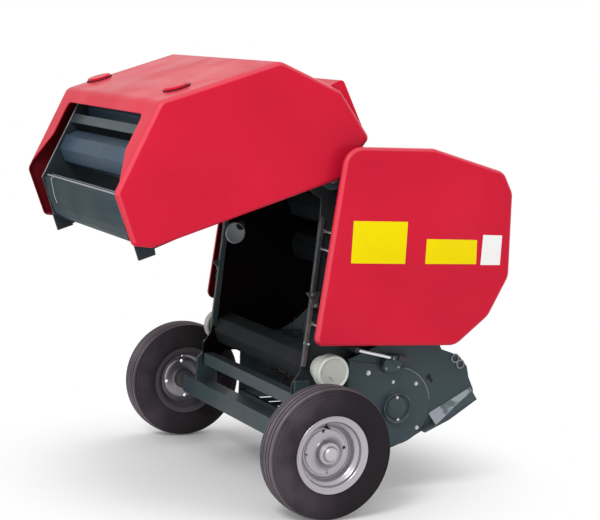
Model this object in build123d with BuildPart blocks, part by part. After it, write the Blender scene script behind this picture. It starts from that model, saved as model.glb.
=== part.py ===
from build123d import *
from math import atan2, cos, degrees, hypot, radians, sin
import os

# A compact round baler with a fixed chamber of ribbed rollers, carried on two small wheels behind
# a three-point hitch, and stored with its tailgate raised.
# Millimetres. +X is the way it travels, +Y its left side, +Z up, and the ground is Z = 0.
# Every side profile is drawn with x counted forward from the axle and y as the height.

os.makedirs("parts", exist_ok=True)

# How far the machine reaches before the axle, to its drive guard's lip, and behind it, which puts its
# middle at X = 0
NECK_END, GUARD_LENGTH = 612, 168
REAR_REACH = 645.2
AXLE_X = (REAR_REACH - NECK_END - GUARD_LENGTH) / 2

# Wheels, 4.80/4.00-8 size
TYRE_R = 205
TYRE_W = 115
WHEEL_Y = 572.5
AXLE_Z = TYRE_R
RIM_IN, RIM_OUT = WHEEL_Y - 48.5, WHEEL_Y + 47.5
HUB_IN, HUB_OUT = WHEEL_Y - 40.5, WHEEL_Y + 27.5
FLANGE_LIP_R, BEAD_R, WELL_R, HUB_TUBE_R = 119, 103, 89, 34
STUB_R = 15
STUB_END = HUB_OUT - 2
RUNNING = 0.05

# Bale chamber: a ring of rollers round one centre
CHAMBER_X, CHAMBER_Z = 25, 750
PITCH_R = 335
ROLLER_R = 60
RIB_DEPTH = 6
RIB_COUNT = 10
RIB_W = 7
ROLLER_HALF = 344
ROLLER_END = 10
SHAFT_R = 15
FLANGE_R = 34
FRONT_ROLLERS = (73, 47, 21, -5, 279)  # degrees round the chamber, from straight ahead
GATE_ROLLERS = (112, 139.5, 167, 194.5, 222, 249.5)

# Tailgate hinge and the angle that it stands open
HINGE_X, HINGE_Z = 62, 1015
OPEN_ANGLE = 62.6
PIN_R = 15

# Distances of the layers from the machine's middle plane
WALL_IN, WALL = 350, 6
WALL_OUT = WALL_IN + WALL
FLANGE_OUT = 368
HINGE_BOSS_OUT = 397
ARM_IN, ARM_OUT = 400, 408
BAR_OUT = 366
GATE_RIM, GATE_FACE = 412, 430
COVER_RIM, COVER_FACE = 470, 490
SHEET = 4

# Tailgate cylinder, from its base pin on the side wall to its eye beside the gate's arm
BASE_X, BASE_Z = 430, 700
EYE_REACH = 90
EYE_OPEN = 12.4
CYL_Y = 389
BARREL_R, ROD_R = 16, 9
EYE_R, EYE_HALF = 18, 7
BARREL_END = 300

# Pickup reel
REEL_X, REEL_Z = 324, 294
REEL_SHAFT_R = 16
TINE_R = 165
TINE_BAR_R = 88
TINE = 6
TINE_PITCH = 74
TINE_ROWS = 10
TINE_BARS = 4
BAND_R = 122
BAND_W = 54
BAND_T = 3
BAND_REAR = 150
PICKUP_IN, PICKUP_OUT = 400, 406

# Three-point hitch, category 1, and the drive stub
LINK_X, LINK_Z = 655, 598
TOP_X = 640
LINK_SHOULDER = 341.5
LINK_PIN_R = 11
LINK_PIN = 45
MAST = 460
TOP_HOLE_R = 9.75
PTO_Z = 750
PTO_END = 700
PTO_R = 17.5

# Parking leg
LEG_X, LEG_Y = 582, 450
LEG_HALF = 15
LEG_TOP = 770
SLEEVE_FOOT, SLEEVE_TOP = 605, 700


def side(y):
    """A plane along the machine: x forward from the axle, y up, and it is extruded to the right"""
    return Plane(origin=(AXLE_X, y, 0), x_dir=(1, 0, 0), z_dir=(0, -1, 0))


def gate_side(y):
    """The same for the raised tailgate: x and y are counted from its hinge as when it is shut"""
    turn = radians(OPEN_ANGLE)
    start = (AXLE_X + HINGE_X, y, HINGE_Z)
    return Plane(origin=start, x_dir=(cos(turn), 0, -sin(turn)), z_dir=(0, -1, 0))


def ring_place(angle):
    """A roller's place round the chamber's centre, seen from the side"""
    return CHAMBER_X + PITCH_R * cos(radians(angle)), CHAMBER_Z + PITCH_R * sin(radians(angle))


def gate_place(angle):
    """The same place counted from the tailgate's hinge"""
    x, z = ring_place(angle)
    return x - HINGE_X, z - HINGE_Z


def rounded(points, radii):
    """A face with these corners, each rounded by its radius"""
    with BuildSketch() as face:
        with BuildLine():
            FilletPolyline(*points, radius=radii, close=True)
        make_face()
    return face.sketch


def pressed(outline, plane, depth, edge_radius):
    """A block with this outline and a rounded edge round its far face"""
    with BuildPart() as block:
        with BuildSketch(plane):
            add(outline)
        extrude(amount=depth)
        fillet(block.faces().sort_by(Axis((0, 0, 0), plane.z_dir))[-1].edges(), edge_radius)
    return block.part


def tray(outline, plane, depth, edge_radius):
    """A pressed sheet: a flat face with a rolled edge, open on its inner side"""
    with BuildSketch() as inner:
        add(outline)
        offset(amount=-SHEET, mode=Mode.REPLACE)
    hollow = pressed(inner.sketch, plane, depth - SHEET, edge_radius - SHEET)
    with BuildPart() as pan:
        add(pressed(outline, plane, depth, edge_radius))
        add(hollow, mode=Mode.SUBTRACT)
    return pan.part


def strip(points, radii, plane, thickness, width):
    """A bent sheet: a line with rounded bends, given a thickness and pulled to a width"""
    with BuildPart() as sheet:
        with BuildSketch(plane):
            with BuildLine() as path:
                FilletPolyline(*points, radius=radii)
            trace(path.line, line_width=thickness)
        extrude(amount=width)
    return sheet.part


def save(piece, name):
    piece.label = name
    export_step(piece, f"parts/{name}.step")


def save_pair(piece, name):
    """Writes a right-hand piece and its mirror image on the left"""
    save(piece, f"{name}_right")
    with BuildPart() as twin:
        add(piece)
        mirror(about=Plane.XZ, mode=Mode.REPLACE)
    save(twin.part, f"{name}_left")


# Chassis frame: the axle beam with its stubs, and the uprights that carry the side walls
BEAM, BEAM_WALL = 60, 6
BEAM_END = 8
BEAM_HALF = HUB_IN - BEAM_END - 44
UPRIGHT = ((-35, 235), (35, 235), (35, 380), (-12, 380), (-12, 340), (-35, 320))

with BuildPart() as chassis_frame:
    with BuildSketch(side(BEAM_HALF)):
        with Locations((0, AXLE_Z)):
            Rectangle(BEAM, BEAM)
            Rectangle(BEAM - 2 * BEAM_WALL, BEAM - 2 * BEAM_WALL, mode=Mode.SUBTRACT)
    extrude(amount=2 * BEAM_HALF)
    for y in (BEAM_HALF + BEAM_END, -BEAM_HALF):
        with BuildSketch(side(y)):
            with Locations((0, AXLE_Z)):
                Rectangle(BEAM, BEAM)
        extrude(amount=BEAM_END)
    for y in (STUB_END, -BEAM_HALF - BEAM_END):
        with BuildSketch(side(y)):
            with Locations((0, AXLE_Z)):
                Circle(STUB_R)
        extrude(amount=STUB_END - BEAM_HALF - BEAM_END)
    for y in (FLANGE_OUT, -WALL_OUT):
        with BuildSketch(side(y)):
            Polygon(*UPRIGHT, align=None)
        extrude(amount=FLANGE_OUT - WALL_OUT)
save(chassis_frame.part, "chassis_frame")

# Lower tie between the side walls
TIE_X, TIE_Z, TIE = 6, 318, 40
with BuildPart() as lower_tie:
    with BuildSketch(side(WALL_IN)):
        with Locations((TIE_X, TIE_Z)):
            Rectangle(TIE, TIE)
            Rectangle(TIE - 8, TIE - 8, mode=Mode.SUBTRACT)
    extrude(amount=2 * WALL_IN)
save(lower_tie.part, "lower_tie")

# Side walls of the chamber's fixed half, with the rollers' bearing flanges, the hinge pin and the
# pin that the cylinder stands on
WALL_OUTLINE = (
    (-18, 296), (36, 296), (60, 345), (150, 345), (330, 440), (447, 545), (585, 572), (585, 800), (447, 820),
    (447, 1045), (400, 1092), (190, 1092), (160, 1118), (95, 1128), (56, 1085), (51, 880), (10, 410), (-18, 372),
)
HINGE_PLATE_R, HINGE_BOSS_R = 62, 28
HINGE_PIN_OUT = ARM_OUT + 2
BASE_PIN_R, BASE_BOSS_R, BASE_BOSS_OUT = 10, 18, 368
BASE_PIN_OUT = CYL_Y + EYE_HALF + 6

with BuildPart() as side_wall:
    with BuildSketch(side(-WALL_IN)):
        Polygon(*WALL_OUTLINE, align=None)
        with Locations((HINGE_X, HINGE_Z)):
            Circle(HINGE_PLATE_R)
    extrude(amount=WALL)
    with BuildSketch(side(-WALL_OUT)):
        with Locations(*[ring_place(angle) for angle in FRONT_ROLLERS]):
            Circle(FLANGE_R)
    extrude(amount=FLANGE_OUT - WALL_OUT)
    with BuildSketch(side(-WALL_IN)):
        with Locations(*[ring_place(angle) for angle in FRONT_ROLLERS]):
            Circle(SHAFT_R + RUNNING)
    extrude(amount=FLANGE_OUT - WALL_IN, mode=Mode.SUBTRACT)
    for start, end, place, radius in (
        (WALL_OUT, HINGE_BOSS_OUT, (HINGE_X, HINGE_Z), HINGE_BOSS_R),
        (HINGE_BOSS_OUT, HINGE_PIN_OUT, (HINGE_X, HINGE_Z), PIN_R),
        (WALL_OUT, BASE_BOSS_OUT, (BASE_X, BASE_Z), BASE_BOSS_R),
        (BASE_BOSS_OUT, BASE_PIN_OUT, (BASE_X, BASE_Z), BASE_PIN_R),
    ):
        with BuildSketch(side(-start)):
            with Locations(place):
                Circle(radius)
        extrude(amount=end - start)
save_pair(side_wall.part, "side_wall")

# Side covers: large pressed sheets over both sides of the fixed half. The left one's rear edge stands
# further forward
COVER_FRONT = ((372, 1121), (633, 1051), (670, 985), (675, 717), (607, 590), (492, 498))
COVER_RADII = (26, 62, 60, 44, 44, 60, 60, 60)
ROLLED_EDGE = 14
LEFT_COVER_BACK = 50


def side_cover(foot, top):
    """A right-hand cover whose rear edge runs between these two corners"""
    outline = rounded((foot, top, *COVER_FRONT), COVER_RADII)
    return tray(outline, side(-COVER_RIM), COVER_FACE - COVER_RIM, ROLLED_EDGE)


save(side_cover((-9, 512), (65, 1121)), "side_cover_right")
with BuildPart() as left_cover:
    add(side_cover((-9 + LEFT_COVER_BACK, 510), (65 + LEFT_COVER_BACK, 1121)))
    mirror(about=Plane.XZ, mode=Mode.REPLACE)
save(left_cover.part, "side_cover_left")

# Stays that hold each cover off its side wall
STAYS = ((120, 905), (80, 590), (425, 1030), (430, 620))
STAY_R = 11
with BuildPart() as cover_stays:
    with BuildSketch(side(-WALL_OUT)):
        with Locations(*STAYS):
            Circle(STAY_R)
    extrude(amount=COVER_FACE - SHEET - WALL_OUT)
save_pair(cover_stays.part, "cover_stays")

# Stiffening bars along the parting line, each with its latch bracket
BAR_TOP, BAR_FOOT, BAR_W = (58.5, 895), (17, 425), 12
LATCH = ((34, 611), (54, 611), (52, 638), (60, 660), (8, 660), (28, 638))
LATCH_T = 6
with BuildPart() as parting_bar:
    with BuildSketch(side(-WALL_OUT)):
        with BuildLine() as run:
            Line(BAR_FOOT, BAR_TOP)
        trace(run.line, line_width=BAR_W)
    extrude(amount=BAR_OUT - WALL_OUT)
    with BuildSketch(side(-BAR_OUT)):
        Polygon(*LATCH, align=None)
    extrude(amount=LATCH_T)
save_pair(parting_bar.part, "parting_bar")

# Hood over the front rollers, from its top lip down to the intake
HOOD_POINTS = ((165, 1124), (205, 1106), (290, 1074), (445, 1012), (445, 690), (412, 636))
save(strip(HOOD_POINTS, (30, 30, 16, 30), side(WALL_IN), SHEET, 2 * WALL_IN), "front_hood")


def roller(plane, place):
    """A ribbed hollow roller with its shaft ends"""
    with BuildPart() as drum:
        with BuildSketch(plane(ROLLER_HALF)):
            with Locations(place):
                Circle(ROLLER_R - RIB_DEPTH)
                with PolarLocations(ROLLER_R - RIB_DEPTH, RIB_COUNT):
                    Rectangle(2 * RIB_DEPTH, RIB_W)
        extrude(amount=2 * ROLLER_HALF)
        with BuildSketch(plane(FLANGE_OUT)):
            with Locations(place):
                Circle(SHAFT_R)
        extrude(amount=2 * FLANGE_OUT)
        with BuildSketch(plane(ROLLER_HALF - ROLLER_END)):
            with Locations(place):
                Circle(ROLLER_R - RIB_DEPTH - SHEET)
        extrude(amount=2 * (ROLLER_HALF - ROLLER_END), mode=Mode.SUBTRACT)
    return drum.part


for number, angle in enumerate(FRONT_ROLLERS, 1):
    save(roller(side, ring_place(angle)), f"front_roller_{number}")
for number, angle in enumerate(GATE_ROLLERS, 1):
    save(roller(gate_side, gate_place(angle)), f"gate_roller_{number}")

# Drum-shaped caps over the lowest roller's bearings
CAP_R, CAP_NECK_R = 55, 40
CAP_REAR, CAP_FACE, CAP_WALL = 416, 450, 6
with BuildPart() as bearing_cap:
    with BuildSketch(side(-FLANGE_OUT)):
        with Locations(ring_place(FRONT_ROLLERS[-1])):
            Circle(CAP_NECK_R)
    extrude(amount=CAP_REAR - FLANGE_OUT)
    with BuildSketch(side(-CAP_REAR)):
        with Locations(ring_place(FRONT_ROLLERS[-1])):
            Circle(CAP_R)
    extrude(amount=CAP_FACE - CAP_REAR)
    with BuildSketch(side(-CAP_REAR)):
        with Locations(ring_place(FRONT_ROLLERS[-1])):
            Circle(CAP_R - CAP_WALL)
            Circle(CAP_NECK_R, mode=Mode.SUBTRACT)
    extrude(amount=CAP_FACE - CAP_REAR - CAP_WALL, mode=Mode.SUBTRACT)
    fillet(bearing_cap.faces().sort_by(Axis.Y)[0].edges(), 5)
save_pair(bearing_cap.part, "bearing_cap")

# Pickup side plates, each with its lip along the front, the web that joins it to the side wall, the
# raised case of the reel's drive and the boss for the reel's shaft
PICKUP_OUTLINE = (
    (150, 158), (320, 158), (378, 178), (431, 206), (518, 243), (619, 306), (617, 336), (597, 376), (588, 412),
    (558, 446), (522, 461), (488, 472), (447, 556), (330, 520), (150, 450),
)
CASE_R, CASE_OUT = 126, 412
CASE_TAIL = ((152, 448), (344, 418), (REEL_X, REEL_Z), (232, 208), (152, 300))
LIP = ((431, 206), (518, 243), (619, 306), (615, 313), (515, 251), (429, 213))
LIP_OUT = 430
BOSS_R, BOSS_OUT = 48, 418
with BuildPart() as pickup_side:
    with BuildSketch(side(-PICKUP_IN)):
        Polygon(*PICKUP_OUTLINE, align=None)
    extrude(amount=PICKUP_OUT - PICKUP_IN)
    with BuildSketch(side(-WALL_OUT)):
        with BuildLine() as web:
            Polyline((152, 352), (327, 446), (440, 548))
        trace(web.line, line_width=8)
    extrude(amount=PICKUP_IN - WALL_OUT)
    with BuildSketch(side(-PICKUP_OUT)):
        with Locations((REEL_X, REEL_Z)):
            Circle(CASE_R)
        Polygon(*CASE_TAIL, align=None)
    extrude(amount=CASE_OUT - PICKUP_OUT)
    with BuildSketch(side(-PICKUP_OUT)):
        with Locations((REEL_X, REEL_Z)):
            Circle(BOSS_R)
    extrude(amount=BOSS_OUT - PICKUP_OUT)
    with BuildSketch(side(-PICKUP_IN)):
        with Locations((REEL_X, REEL_Z)):
            Circle(REEL_SHAFT_R + RUNNING)
    extrude(amount=BOSS_OUT - PICKUP_IN, mode=Mode.SUBTRACT)
    with BuildSketch(side(-PICKUP_OUT)):
        Polygon(*LIP, align=None)
    extrude(amount=LIP_OUT - PICKUP_OUT)
save_pair(pickup_side.part, "pickup_side")

# Stripper bands: sheet loops that the tines pass between, open to the rear, on two cross bars
BAND_BAR = 16
BAND_BARS = ((BAND_REAR + 8, REEL_Z + BAND_R - 9, WALL_IN), (BAND_REAR + 10, REEL_Z - BAND_R + 9, PICKUP_IN))
with BuildPart() as stripper_bands:
    for row in range(1 - TINE_ROWS // 2, TINE_ROWS // 2):
        with BuildSketch(side(row * TINE_PITCH + BAND_W / 2)):
            with BuildLine() as loop:
                low = Line((BAND_REAR, REEL_Z - BAND_R), (REEL_X, REEL_Z - BAND_R))
                bow = ThreePointArc(low @ 1, (REEL_X + BAND_R, REEL_Z), (REEL_X, REEL_Z + BAND_R))
                Line(bow @ 1, (BAND_REAR, REEL_Z + BAND_R))
            trace(loop.line, line_width=BAND_T)
        extrude(amount=BAND_W)
    for x, z, half in BAND_BARS:
        with BuildSketch(side(half)):
            with Locations((x, z)):
                Rectangle(BAND_BAR, BAND_BAR)
        extrude(amount=2 * half)
save(stripper_bands.part, "stripper_bands")

# Pickup reel: a shaft with spiders, four bars and rows of spring tines
SPIDERS = (384, 5, -374)
SPIDER_T, SPIDER_R, SPIDER_ARM = 10, 40, 26
TUBE_R = 12
with BuildPart() as pickup_reel:
    with BuildSketch(side(BOSS_OUT - 2)):
        with Locations((REEL_X, REEL_Z)):
            Circle(REEL_SHAFT_R)
    extrude(amount=2 * (BOSS_OUT - 2))
    for y in SPIDERS:
        with BuildSketch(side(y)):
            with Locations((REEL_X, REEL_Z)):
                Circle(SPIDER_R)
                with PolarLocations(TINE_BAR_R / 2, TINE_BARS):
                    Rectangle(TINE_BAR_R, SPIDER_ARM)
        extrude(amount=SPIDER_T)
    with BuildSketch(side(SPIDERS[0])):
        with Locations((REEL_X, REEL_Z)):
            with PolarLocations(TINE_BAR_R, TINE_BARS):
                Circle(TUBE_R)
    extrude(amount=2 * SPIDERS[0])
    for row in range(TINE_ROWS):
        with BuildSketch(side((row - (TINE_ROWS - 1) / 2) * TINE_PITCH + TINE / 2)):
            with Locations((REEL_X, REEL_Z)):
                with PolarLocations((TINE_BAR_R + TINE_R) / 2, TINE_BARS):
                    Rectangle(TINE_R - TINE_BAR_R, TINE)
        extrude(amount=TINE)
save(pickup_reel.part, "pickup_reel")

# Height rods of the pickup, one each side
ROD_ENDS = ((160, 487), (294, 456))
ROD_IN, ROD_W, ROD_POST_R = 432, 12, 9
ROD_BRACKET = ((282, 440), (330, 432), (338, 446), (322, 462), (300, 472), (282, 472))
with BuildPart() as pickup_rod:
    with BuildSketch(side(-ROD_IN)):
        with BuildLine() as run:
            Line(*ROD_ENDS)
        trace(run.line, line_width=ROD_W)
    extrude(amount=ROD_W)
    with BuildSketch(side(-PICKUP_OUT)):
        Polygon(*ROD_BRACKET, align=None)
    extrude(amount=ROD_IN - PICKUP_OUT)
    with BuildSketch(side(-WALL_OUT)):
        with Locations(ROD_ENDS[0]):
            Circle(ROD_POST_R)
    extrude(amount=ROD_IN + ROD_W - WALL_OUT)
save_pair(pickup_rod.part, "pickup_rod")

# Hitch frame: a cross tube between the side walls, cheeks with the lower link pins, and the mast
# with the top link's ears
TUBE, TUBE_WALL = 60, 6
TUBE_X, TUBE_Z = 540, 620
CHEEK = ((570, 590), (LINK_X + 5, LINK_Z - 23), (LINK_X + 22, LINK_Z), (LINK_X + 5, LINK_Z + 23), (570, 650))
CHEEK_T = 12
MAST_IN, MAST_OUT = 84, 94
MAST_PLATE = ((570, 592), (600, 592), (635, 660), (665, 1000), (615, 1000), (570, 960))
EAR_FOOT, EAR_HALF, EAR_RISE = 1000, 25, 24
EAR_TOP = LINK_Z + MAST + EAR_RISE
EAR = (
    (TOP_X - EAR_HALF, EAR_FOOT), (TOP_X + EAR_HALF, EAR_FOOT), (TOP_X + EAR_HALF, EAR_TOP - 10),
    (TOP_X + EAR_HALF - 10, EAR_TOP), (TOP_X - EAR_HALF + 10, EAR_TOP), (TOP_X - EAR_HALF, EAR_TOP - 10),
)
EAR_IN, EAR_OUT = 26, 36
with BuildPart() as hitch_frame:
    with BuildSketch(side(WALL_IN)):
        with Locations((TUBE_X, TUBE_Z)):
            Rectangle(TUBE, TUBE)
            Rectangle(TUBE - 2 * TUBE_WALL, TUBE - 2 * TUBE_WALL, mode=Mode.SUBTRACT)
    extrude(amount=2 * WALL_IN)
    for outline, near, far in (
        (CHEEK, LINK_SHOULDER - CHEEK_T, LINK_SHOULDER),
        (MAST_PLATE, MAST_IN, MAST_OUT),
        (EAR, EAR_IN, EAR_OUT),
    ):
        for y in (far, -near):
            with BuildSketch(side(y)):
                Polygon(*outline, align=None)
            extrude(amount=far - near)
    with BuildSketch(side(MAST_OUT)):
        with Locations((TOP_X, EAR_FOOT)):
            Rectangle(2 * EAR_HALF, CHEEK_T, align=(Align.CENTER, Align.MAX))
    extrude(amount=2 * MAST_OUT)
    with BuildSketch(side(EAR_OUT)):
        with Locations((TOP_X, LINK_Z + MAST)):
            Circle(TOP_HOLE_R)
    extrude(amount=2 * EAR_OUT, mode=Mode.SUBTRACT)
    for y in (LINK_SHOULDER + LINK_PIN, -LINK_SHOULDER):
        with BuildSketch(side(y)):
            with Locations((LINK_X, LINK_Z)):
                Circle(LINK_PIN_R)
        extrude(amount=LINK_PIN)
save(hitch_frame.part, "hitch_frame")

# Gearbox with its side shaft tubes
BOX_OUTLINE = ((450, 668), (575, 668), (590, 690), (590, 810), (575, 832), (450, 832))
BOX_HALF = 75
NECK_R, NECK_START = 42, 590
NECK_DEPTH = 52
JOURNAL_R = 15
SHAFT_TUBE_X, SHAFT_TUBE_R = 520, 30
with BuildPart() as gearbox:
    with BuildSketch(side(BOX_HALF)):
        Polygon(*BOX_OUTLINE, align=None)
    extrude(amount=2 * BOX_HALF)
    with BuildSketch(Plane.YZ.offset(AXLE_X + NECK_START)):
        with Locations((0, PTO_Z)):
            Circle(NECK_R)
    extrude(amount=NECK_END - NECK_START)
    with BuildSketch(Plane.YZ.offset(AXLE_X + NECK_END)):
        with Locations((0, PTO_Z)):
            Circle(JOURNAL_R + RUNNING)
    extrude(amount=-NECK_DEPTH, mode=Mode.SUBTRACT)
    for y in (WALL_IN, -BOX_HALF):
        with BuildSketch(side(y)):
            with Locations((SHAFT_TUBE_X, PTO_Z)):
                Circle(SHAFT_TUBE_R)
                Circle(SHAFT_TUBE_R - SHEET, mode=Mode.SUBTRACT)
        extrude(amount=WALL_IN - BOX_HALF)
save(gearbox.part, "gearbox")

# Drive stub, turned by the tractor's shaft
STUB_START = NECK_END + 1
with BuildPart() as drive_stub:
    for start, end, radius in ((NECK_END - NECK_DEPTH + 1, STUB_START, JOURNAL_R), (STUB_START, PTO_END, PTO_R)):
        with BuildSketch(Plane.YZ.offset(AXLE_X + start)):
            with Locations((0, PTO_Z)):
                Circle(radius)
        extrude(amount=end - start)
save(drive_stub.part, "drive_stub")

# Guard over the drive stub
GUARD_HALF, GUARD_T = 75, 4
with BuildPart() as drive_guard:
    with BuildSketch(Plane.YZ.offset(AXLE_X + NECK_END)):
        with Locations((0, PTO_Z + GUARD_HALF / 2)):
            Rectangle(2 * GUARD_HALF, GUARD_HALF)
    extrude(amount=GUARD_LENGTH)
    with BuildSketch(Plane.YZ.offset(AXLE_X + NECK_END + GUARD_T)):
        with Locations((0, PTO_Z + (GUARD_HALF - GUARD_T) / 2)):
            Rectangle(2 * (GUARD_HALF - GUARD_T), GUARD_HALF - GUARD_T)
    extrude(amount=GUARD_LENGTH, mode=Mode.SUBTRACT)
    with BuildSketch(Plane.YZ.offset(AXLE_X + NECK_END)):
        with Locations((0, PTO_Z)):
            Circle(PTO_R + 8)
    extrude(amount=GUARD_T, mode=Mode.SUBTRACT)
save(drive_guard.part, "drive_guard")

# Twine box on the hood's front, with two bins
BIN_REAR, BIN_DEPTH, BIN_HALF = 447, 120, 320
BIN_FOOT, BIN_H, BIN_WALL = 868, 130, 3
with BuildPart() as twine_box:
    with BuildSketch(Plane.XY.offset(BIN_FOOT)):
        with Locations((AXLE_X + BIN_REAR + BIN_DEPTH / 2, 0)):
            Rectangle(BIN_DEPTH, 2 * BIN_HALF)
    extrude(amount=BIN_H)
    with BuildSketch(Plane.XY.offset(BIN_FOOT + BIN_WALL)):
        with Locations(*[(AXLE_X + BIN_REAR + BIN_DEPTH / 2, y) for y in (-BIN_HALF / 2, BIN_HALF / 2)]):
            Rectangle(BIN_DEPTH - 2 * BIN_WALL, BIN_HALF - 2 * BIN_WALL)
    extrude(amount=BIN_H, mode=Mode.SUBTRACT)
save(twine_box.part, "twine_box")

# Parking leg at the left front, and the sleeve that it slides in
SLEEVE_HALF, SLEEVE_WEB = 21, 20
SLEEVE_GAP = 0.1
LEG_TUBE_WALL = 4
FOOT_X, FOOT_Y, FOOT_T = 110, 80, 8
FOOT_IN = LEG_Y - LEG_HALF
with BuildPart() as leg_sleeve:
    with BuildSketch(Plane.XY.offset(SLEEVE_FOOT)):
        with Locations((AXLE_X + LEG_X, LEG_Y)):
            Rectangle(2 * SLEEVE_HALF, 2 * SLEEVE_HALF)
            Rectangle(2 * (LEG_HALF + SLEEVE_GAP), 2 * (LEG_HALF + SLEEVE_GAP), mode=Mode.SUBTRACT)
    extrude(amount=SLEEVE_TOP - SLEEVE_FOOT)
    with BuildSketch(side(LEG_Y - SLEEVE_HALF)):
        with Locations((LEG_X - SLEEVE_HALF + SLEEVE_WEB / 2 + 2, (SLEEVE_FOOT + SLEEVE_TOP) / 2)):
            Rectangle(SLEEVE_WEB, SLEEVE_TOP - SLEEVE_FOOT - 20)
    extrude(amount=LEG_Y - SLEEVE_HALF - WALL_OUT)
save(leg_sleeve.part, "leg_sleeve")

with BuildPart() as parking_leg:
    with BuildSketch(Plane.XY.offset(FOOT_T)):
        with Locations((AXLE_X + LEG_X, LEG_Y)):
            Rectangle(2 * LEG_HALF, 2 * LEG_HALF)
            Rectangle(2 * (LEG_HALF - LEG_TUBE_WALL), 2 * (LEG_HALF - LEG_TUBE_WALL), mode=Mode.SUBTRACT)
    extrude(amount=LEG_TOP - FOOT_T)
    with BuildSketch(Plane.XY):
        with Locations((AXLE_X + LEG_X, FOOT_IN + FOOT_Y / 2)):
            Rectangle(FOOT_X, FOOT_Y)
    extrude(amount=FOOT_T)
save(parking_leg.part, "parking_leg")

# Wheels: dished rim, tyre and grease cap, turning on the beam's stubs. Their profiles have x as the
# distance from the machine's middle plane and y as the radius
WHEEL_PLANE = Plane(origin=(AXLE_X, 0, AXLE_Z), x_dir=(0, -1, 0), z_dir=(-1, 0, 0))
WHEEL_AXIS = Axis((AXLE_X, 0, AXLE_Z), (0, 1, 0))
RIM_T = 4
DISC_Y = WHEEL_Y - 1
SHOULDER_R, BEAD_HALF = 163, 40
WALL_LEAN = (TYRE_W / 2 - BEAD_HALF) / (SHOULDER_R - BEAD_R)
LIP_HALF = BEAD_HALF + WALL_LEAN * (FLANGE_LIP_R - BEAD_R)
RIM_PROFILE = (
    (RIM_IN, FLANGE_LIP_R), (WHEEL_Y - LIP_HALF, FLANGE_LIP_R), (WHEEL_Y - BEAD_HALF, BEAD_R), (DISC_Y - 26, BEAD_R),
    (DISC_Y - 14, WELL_R), (DISC_Y + 17, WELL_R), (DISC_Y + 28, BEAD_R), (WHEEL_Y + BEAD_HALF, BEAD_R),
    (WHEEL_Y + LIP_HALF, FLANGE_LIP_R), (RIM_OUT, FLANGE_LIP_R), (RIM_OUT - 3, BEAD_R - RIM_T),
    (DISC_Y + 31, BEAD_R - RIM_T), (DISC_Y + 19, WELL_R - RIM_T), (DISC_Y + 2, WELL_R - RIM_T),
    (DISC_Y, 60), (DISC_Y + 8, HUB_TUBE_R), (HUB_OUT, HUB_TUBE_R), (HUB_OUT, STUB_R + RUNNING),
    (HUB_IN, STUB_R + RUNNING), (HUB_IN, HUB_TUBE_R), (DISC_Y - 6, HUB_TUBE_R), (DISC_Y - 5, WELL_R - RIM_T),
    (DISC_Y - 17, WELL_R - RIM_T), (DISC_Y - 29, BEAD_R - RIM_T), (RIM_IN + 3, BEAD_R - RIM_T),
)
with BuildPart() as rim:
    with BuildSketch(WHEEL_PLANE):
        Polygon(*RIM_PROFILE, align=None)
    revolve(axis=WHEEL_AXIS)
save_pair(rim.part, "rim")

# Half of the tyre's section, from its crown to its bead: distance from the wheel's middle and radius
HALF_SECTION = ((39, TYRE_R), (TYRE_W / 2, SHOULDER_R), (BEAD_HALF, BEAD_R))
INNER_HALF = [(-y, r) for y, r in reversed(HALF_SECTION)]
with BuildPart() as tyre:
    with BuildSketch(WHEEL_PLANE):
        Polygon(*[(WHEEL_Y + y, r) for y, r in (*HALF_SECTION, *INNER_HALF)], align=None)
    revolve(axis=WHEEL_AXIS)
save_pair(tyre.part, "tyre")

GREASE_CAP = ((0, 0), (0, 25), (9, 25), (16, 21), (20, 12), (21, 0))
with BuildPart() as grease_cap:
    with BuildSketch(WHEEL_PLANE):
        Polygon(*[(HUB_OUT + y, r) for y, r in GREASE_CAP], align=None)
    revolve(axis=WHEEL_AXIS)
save_pair(grease_cap.part, "grease_cap")

# Tailgate outline as when it is shut, from the hinge: its lower rear edge, the foot, the parting
# edge, the top, the slope and the back
GATE_POINTS = (
    (-286, -651), (-122, -668), (-87, -615), (5, 12), (-64, 160), (-239, 129), (-407, -17), (-466, -415),
)
GATE_RADII = (26, 18, 14, 8, 20, 30, 40, 34)
gate_outline = rounded(GATE_POINTS, GATE_RADII)
GATE_EDGE = 16
save_pair(tray(gate_outline, gate_side(-GATE_RIM), GATE_FACE - GATE_RIM, GATE_EDGE), "gate_panel")

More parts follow.
